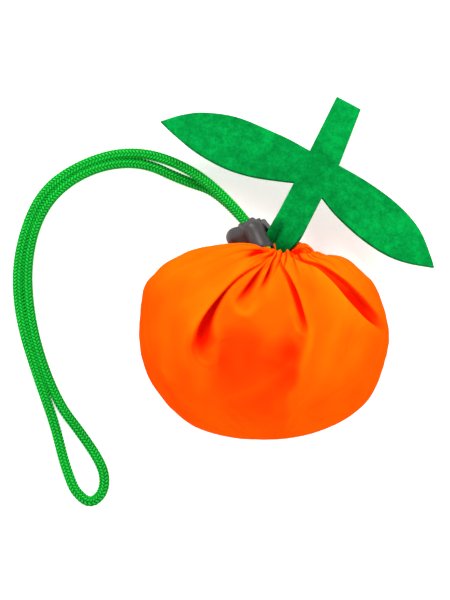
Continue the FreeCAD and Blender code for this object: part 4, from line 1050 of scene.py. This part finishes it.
HOUSING_VOXEL, BUTTON_VOXEL = 0.00025, 0.00020            # sizes of the softened copies' faces
HOUSING_ROUNDS, BUTTON_ROUNDS, TOP_ROUNDS = 50, 8, 30     # of smoothing
HOLE_OFFSET = 0.0031                                      # of each cord's hole from the lock's middle
BARREL_SHIFT = -0.0012                                    # of the barrel's line from the lock's middle
BARREL_DOME = -0.0064                                     # where the barrel's round end starts
HOLE_WIDER = 0.0004                                       # so that the cords' braid clears their holes
BOOT_WAY = unit(np.array((0.28, -0.95, 0.25)))


def lock_places(obj):
    """Its points in the lock's own directions: towards the button, along the cords, and up."""
    ways = np.array((LOCK_PRESS, LOCK_ALONG, LOCK_UP))
    return (np.array([v.co for v in obj.data.vertices]) - LOCK) @ ways.T


def place_in_lock(obj, press, along, up, extra=0.0):
    places = LOCK + np.outer(press, LOCK_PRESS) + np.outer(along, LOCK_ALONG) + np.outer(up, LOCK_UP) + extra
    obj.data.vertices.foreach_set("co", places.ravel())


def shape_housing(housing, settings):
    """Leans and swells the housing's outside, and draws its low end out into a soft boot."""
    press, along, up = lock_places(housing).T
    normals = np.array([v.normal for v in housing.data.vertices])
    low, high = along.min(), along.max()
    from_hole = np.hypot(press, np.abs(up) - HOLE_OFFSET)
    from_barrel = np.sqrt((along - BARREL_SHIFT) ** 2 + up ** 2 + np.minimum(press - BARREL_DOME, 0) ** 2)
    hole_wall = 1 - smooth_step(0.0026, 0.0032, from_hole)
    outside = (1 - hole_wall) * smooth_step(0.0041, 0.0046, from_barrel)
    widen = 1 + HOLE_WIDER * hole_wall / np.maximum(from_hole, 0.001)
    plump = np.exp(-((along - (low + high) / 2) / (0.35 * (high - low))) ** 2)
    plump = (plump + 0.6 * (1 - smooth_step(low, low + 0.004, along))) * np.exp(-(press / 0.0085) ** 2)
    plump = settings.plump * plump * outside
    boot = settings.boot * (1 - smooth_step(low, low + 0.005, along))
    short = settings.shorter * smooth_step(high - 0.0075, high, along) * np.exp(-(press / 0.0036) ** 2)
    middle_up = np.sign(up) * HOLE_OFFSET
    extra = normals * plump[:, None] + BOOT_WAY * boot[:, None]
    place_in_lock(housing, press * widen, along - short - settings.lean * press,
                  middle_up + (up - middle_up) * widen, extra)


def ease_top(housing, rounds):
    """Smooths the housing's upper end into one dome."""
    bm = bmesh.new()
    bm.from_mesh(housing.data)
    top = [v for v in bm.verts if (np.array(v.co) - LOCK) @ LOCK_ALONG > 0.0003]
    for _ in range(rounds):
        bmesh.ops.smooth_vert(bm, verts=top, factor=0.5, use_axis_x=True, use_axis_y=True, use_axis_z=True)
    bm.to_mesh(housing.data)
    bm.free()


def shape_button(button, settings):
    """Slims the plunger's hidden shaft, and sets its head lower, as the housing leans."""
    press, along, up = lock_places(button).T
    slim = 1 - 0.55 * (1 - smooth_step(0.0024, 0.0034, press))
    head = smooth_step(0.0055, 0.0061, press)
    along = BARREL_SHIFT + (along - BARREL_SHIFT) * slim - settings.lean * press - 0.0009 * head
    place_in_lock(button, press - 0.0007 * head, along, up * (slim - 0.08 * head) - 0.0004 * head)


class CITRUS_OT_lock(bpy.types.Operator):
    """Mould the cord lock's housing and button, and finish its spring"""
    bl_idname = "citrus.lock"
    bl_label = "Cord lock"

    def execute(self, context):
        settings = context.scene.citrus_lock
        finish = plastic_finish(settings)
        housing = softened("lock_moulding", "lock_housing", HOUSING_VOXEL, HOUSING_ROUNDS)
        shape_housing(housing, settings)
        ease_top(housing, TOP_ROUNDS)
        button = softened("lock_button_moulding", "lock_plunger", BUTTON_VOXEL, BUTTON_ROUNDS)
        shape_button(button, settings)
        finish.put_on(housing, button)
        for obj, body, node in ((housing, "cord_lock", "lock_housing"),
                                (button, "lock_button", "lock_plunger")):
            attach(obj, body)
            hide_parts(node)
        steel = Finish("spring steel", Metallic=1.0, Roughness=0.3)
        greys = [(0.3, (0.45, 0.45, 0.45)), (0.7, (0.7, 0.7, 0.7))]
        steel.set("Base Color", steel.ramp(steel.noise(400.0), greys))
        steel.put_on(frame["nodes"]["lock_spring"])
        return {"FINISHED"}


# --- the folded bag and hidden thread ---------------------------------------------------------------
TOTE_NODES = ("tote_front_panel", "tote_back_panel", "tote_handle_front", "tote_handle_back", "tote_tether")


class CITRUS_OT_packed_bag(bpy.types.Operator):
    """Finish the folded bag, its handles and tether, and the thread that joins the cord's ends"""
    bl_idname = "citrus.packed_bag"
    bl_label = "Packed bag"

    def execute(self, context):
        settings = context.scene.citrus_pouch
        cloth = Finish("tote taffeta", Roughness=0.5, Specular_IOR_Level=0.03)
        orange, deep = Vector(settings.fabric_colour), Vector(settings.fold_shade_colour)
        shaded = tuple(orange * 0.6 + deep * 0.4)
        cloth.set("Base Color", cloth.mix(cloth.noise(90.0, 3.0), tuple(orange), shaded))
        weave = cloth.threads(THREAD_PITCH, *cloth.split(cloth.place()))
        cloth.set("Normal", cloth.bump(weave + cloth.noise(300.0, 3.0), 0.0001, 0.6))
        nodes = frame["nodes"]
        cloth.put_on(*(nodes[name] for name in TOTE_NODES))
        thread = Finish("sewing thread", Roughness=0.7)
        yarn = Vector(settings.thread_colour)
        thread.set("Base Color", thread.ramp(thread.noise(2500.0), [(0.3, yarn * 0.7), (0.7, yarn * 1.1)]))
        thread.put_on(nodes["cord_whipping"])
        return {"FINISHED"}


# --- the stage --------------------------------------------------------------------------------------
LAMPS = [                                                 # name, size, watts, place
    ("far softbox", 0.6, 13.0, (-0.25, 0.95, 0.85)), ("right softbox", 0.7, 4.0, (0.95, 0.15, 0.65)),
    ("left softbox", 0.7, 3.0, (-0.95, -0.1, 0.65)), ("near softbox", 0.8, 3.0, (0.1, -0.95, 0.55)),
]
LAMP_TARGET = (0, 0, 0.02)
FLOOR_HALF = 3.0
FLOOR_GLOW, WORLD_STRENGTH = 0.60, 0.52


def add_lamp(name, size, power, place, target):
    data = bpy.data.lights.new(name, "AREA")
    data.shape = "DISK"
    data.size = size
    data.energy = power
    lamp = bpy.data.objects.new(name, data)
    lamp.location = place
    lamp.rotation_euler = (Vector(target) - Vector(place)).to_track_quat("-Z", "Y").to_euler()
    bpy.context.scene.collection.objects.link(lamp)


class CITRUS_OT_stage(bpy.types.Operator):
    """Lay the white table, and set the camera and the lamps"""
    bl_idname = "citrus.stage"
    bl_label = "Stage"

    def execute(self, context):
        scene, settings = context.scene, context.scene.citrus_stage
        scene.view_settings.view_transform = "Standard"
        bm = bmesh.new()
        bmesh.ops.create_grid(bm, x_segments=1, y_segments=1, size=FLOOR_HALF)
        floor = new_object("floor", bm)
        finish = Finish("white table", Roughness=0.9)
        finish.set("Base Color", tuple(settings.floor))
        tree, nodes = finish.tree, finish.tree.nodes
        rays = nodes.new("ShaderNodeLightPath")
        seen = Wire(finish, rays.outputs["Is Camera Ray"]) + Wire(finish, rays.outputs["Is Glossy Ray"])
        seen = (seen + Wire(finish, rays.outputs["Is Transmission Ray"])).clamp()
        glow = finish.node("ShaderNodeEmission", {}, {"Color": (1.0, 1.0, 1.0), "Strength": FLOOR_GLOW})
        plain = Wire(finish, finish.shader.outputs[0])
        both = finish.node("ShaderNodeAddShader", {}, {0: plain, 1: glow})
        out = nodes["Material Output"]
        lit = finish.node("ShaderNodeMixShader", {}, {0: seen, 1: plain, 2: both})
        tree.links.new(lit.socket, out.inputs["Surface"])
        finish.put_on(floor)
        world = bpy.data.worlds.new("studio")
        world.use_nodes = True
        background = world.node_tree.nodes["Background"]
        background.inputs["Color"].default_value = (1.0, 1.0, 1.0, 1.0)
        background.inputs["Strength"].default_value = WORLD_STRENGTH
        scene.world = world
        for name, size, power, place in LAMPS:
            add_lamp(name, size, power, place, LAMP_TARGET)
        camera = bpy.data.objects.new("camera", bpy.data.cameras.new("camera"))
        camera.data.lens = settings.lens
        camera.data.sensor_width = 36.0
        camera.data.clip_end = 20.0
        camera.location = (settings.camera_x, settings.camera_y, settings.camera_height)
        scene.collection.objects.link(camera)
        scene.camera = camera
        return {"FINISHED"}


# --- panel and registration -------------------------------------------------------------------------
GROUPS = {"citrus_pouch": PouchSettings, "citrus_cord": CordSettings, "citrus_leaf": LeafSettings,
          "citrus_lock": LockSettings, "citrus_stage": StageSettings}
OPERATORS = (CITRUS_OT_stage, CITRUS_OT_cord, CITRUS_OT_pouch, CITRUS_OT_leaf, CITRUS_OT_lock,
             CITRUS_OT_packed_bag)


class CITRUS_PT_panel(bpy.types.Panel):
    bl_idname = "CITRUS_PT_panel"
    bl_label = "Citrus Pouch"
    bl_space_type = "VIEW_3D"
    bl_region_type = "UI"
    bl_category = "Citrus Pouch"

    def draw(self, context):
        for operator in OPERATORS:
            self.layout.operator(operator.bl_idname)
        for name, group in GROUPS.items():
            settings = getattr(context.scene, name)
            for prop in group.__annotations__:
                self.layout.prop(settings, prop)


def register():
    for cls in (*GROUPS.values(), *OPERATORS, CITRUS_PT_panel):
        bpy.utils.register_class(cls)
    for name, group in GROUPS.items():
        setattr(bpy.types.Scene, name, PointerProperty(type=group))


def unregister():
    for name in GROUPS:
        delattr(bpy.types.Scene, name)
    for cls in reversed((*GROUPS.values(), *OPERATORS, CITRUS_PT_panel)):
        bpy.utils.unregister_class(cls)


def main():
    register()
    bpy.ops.citrus.stage()
    bpy.ops.citrus.cord()
    bpy.ops.citrus.pouch()
    bpy.ops.citrus.leaf()
    bpy.ops.citrus.lock()
    bpy.ops.citrus.packed_bag()


if __name__ == "__main__":
    main()
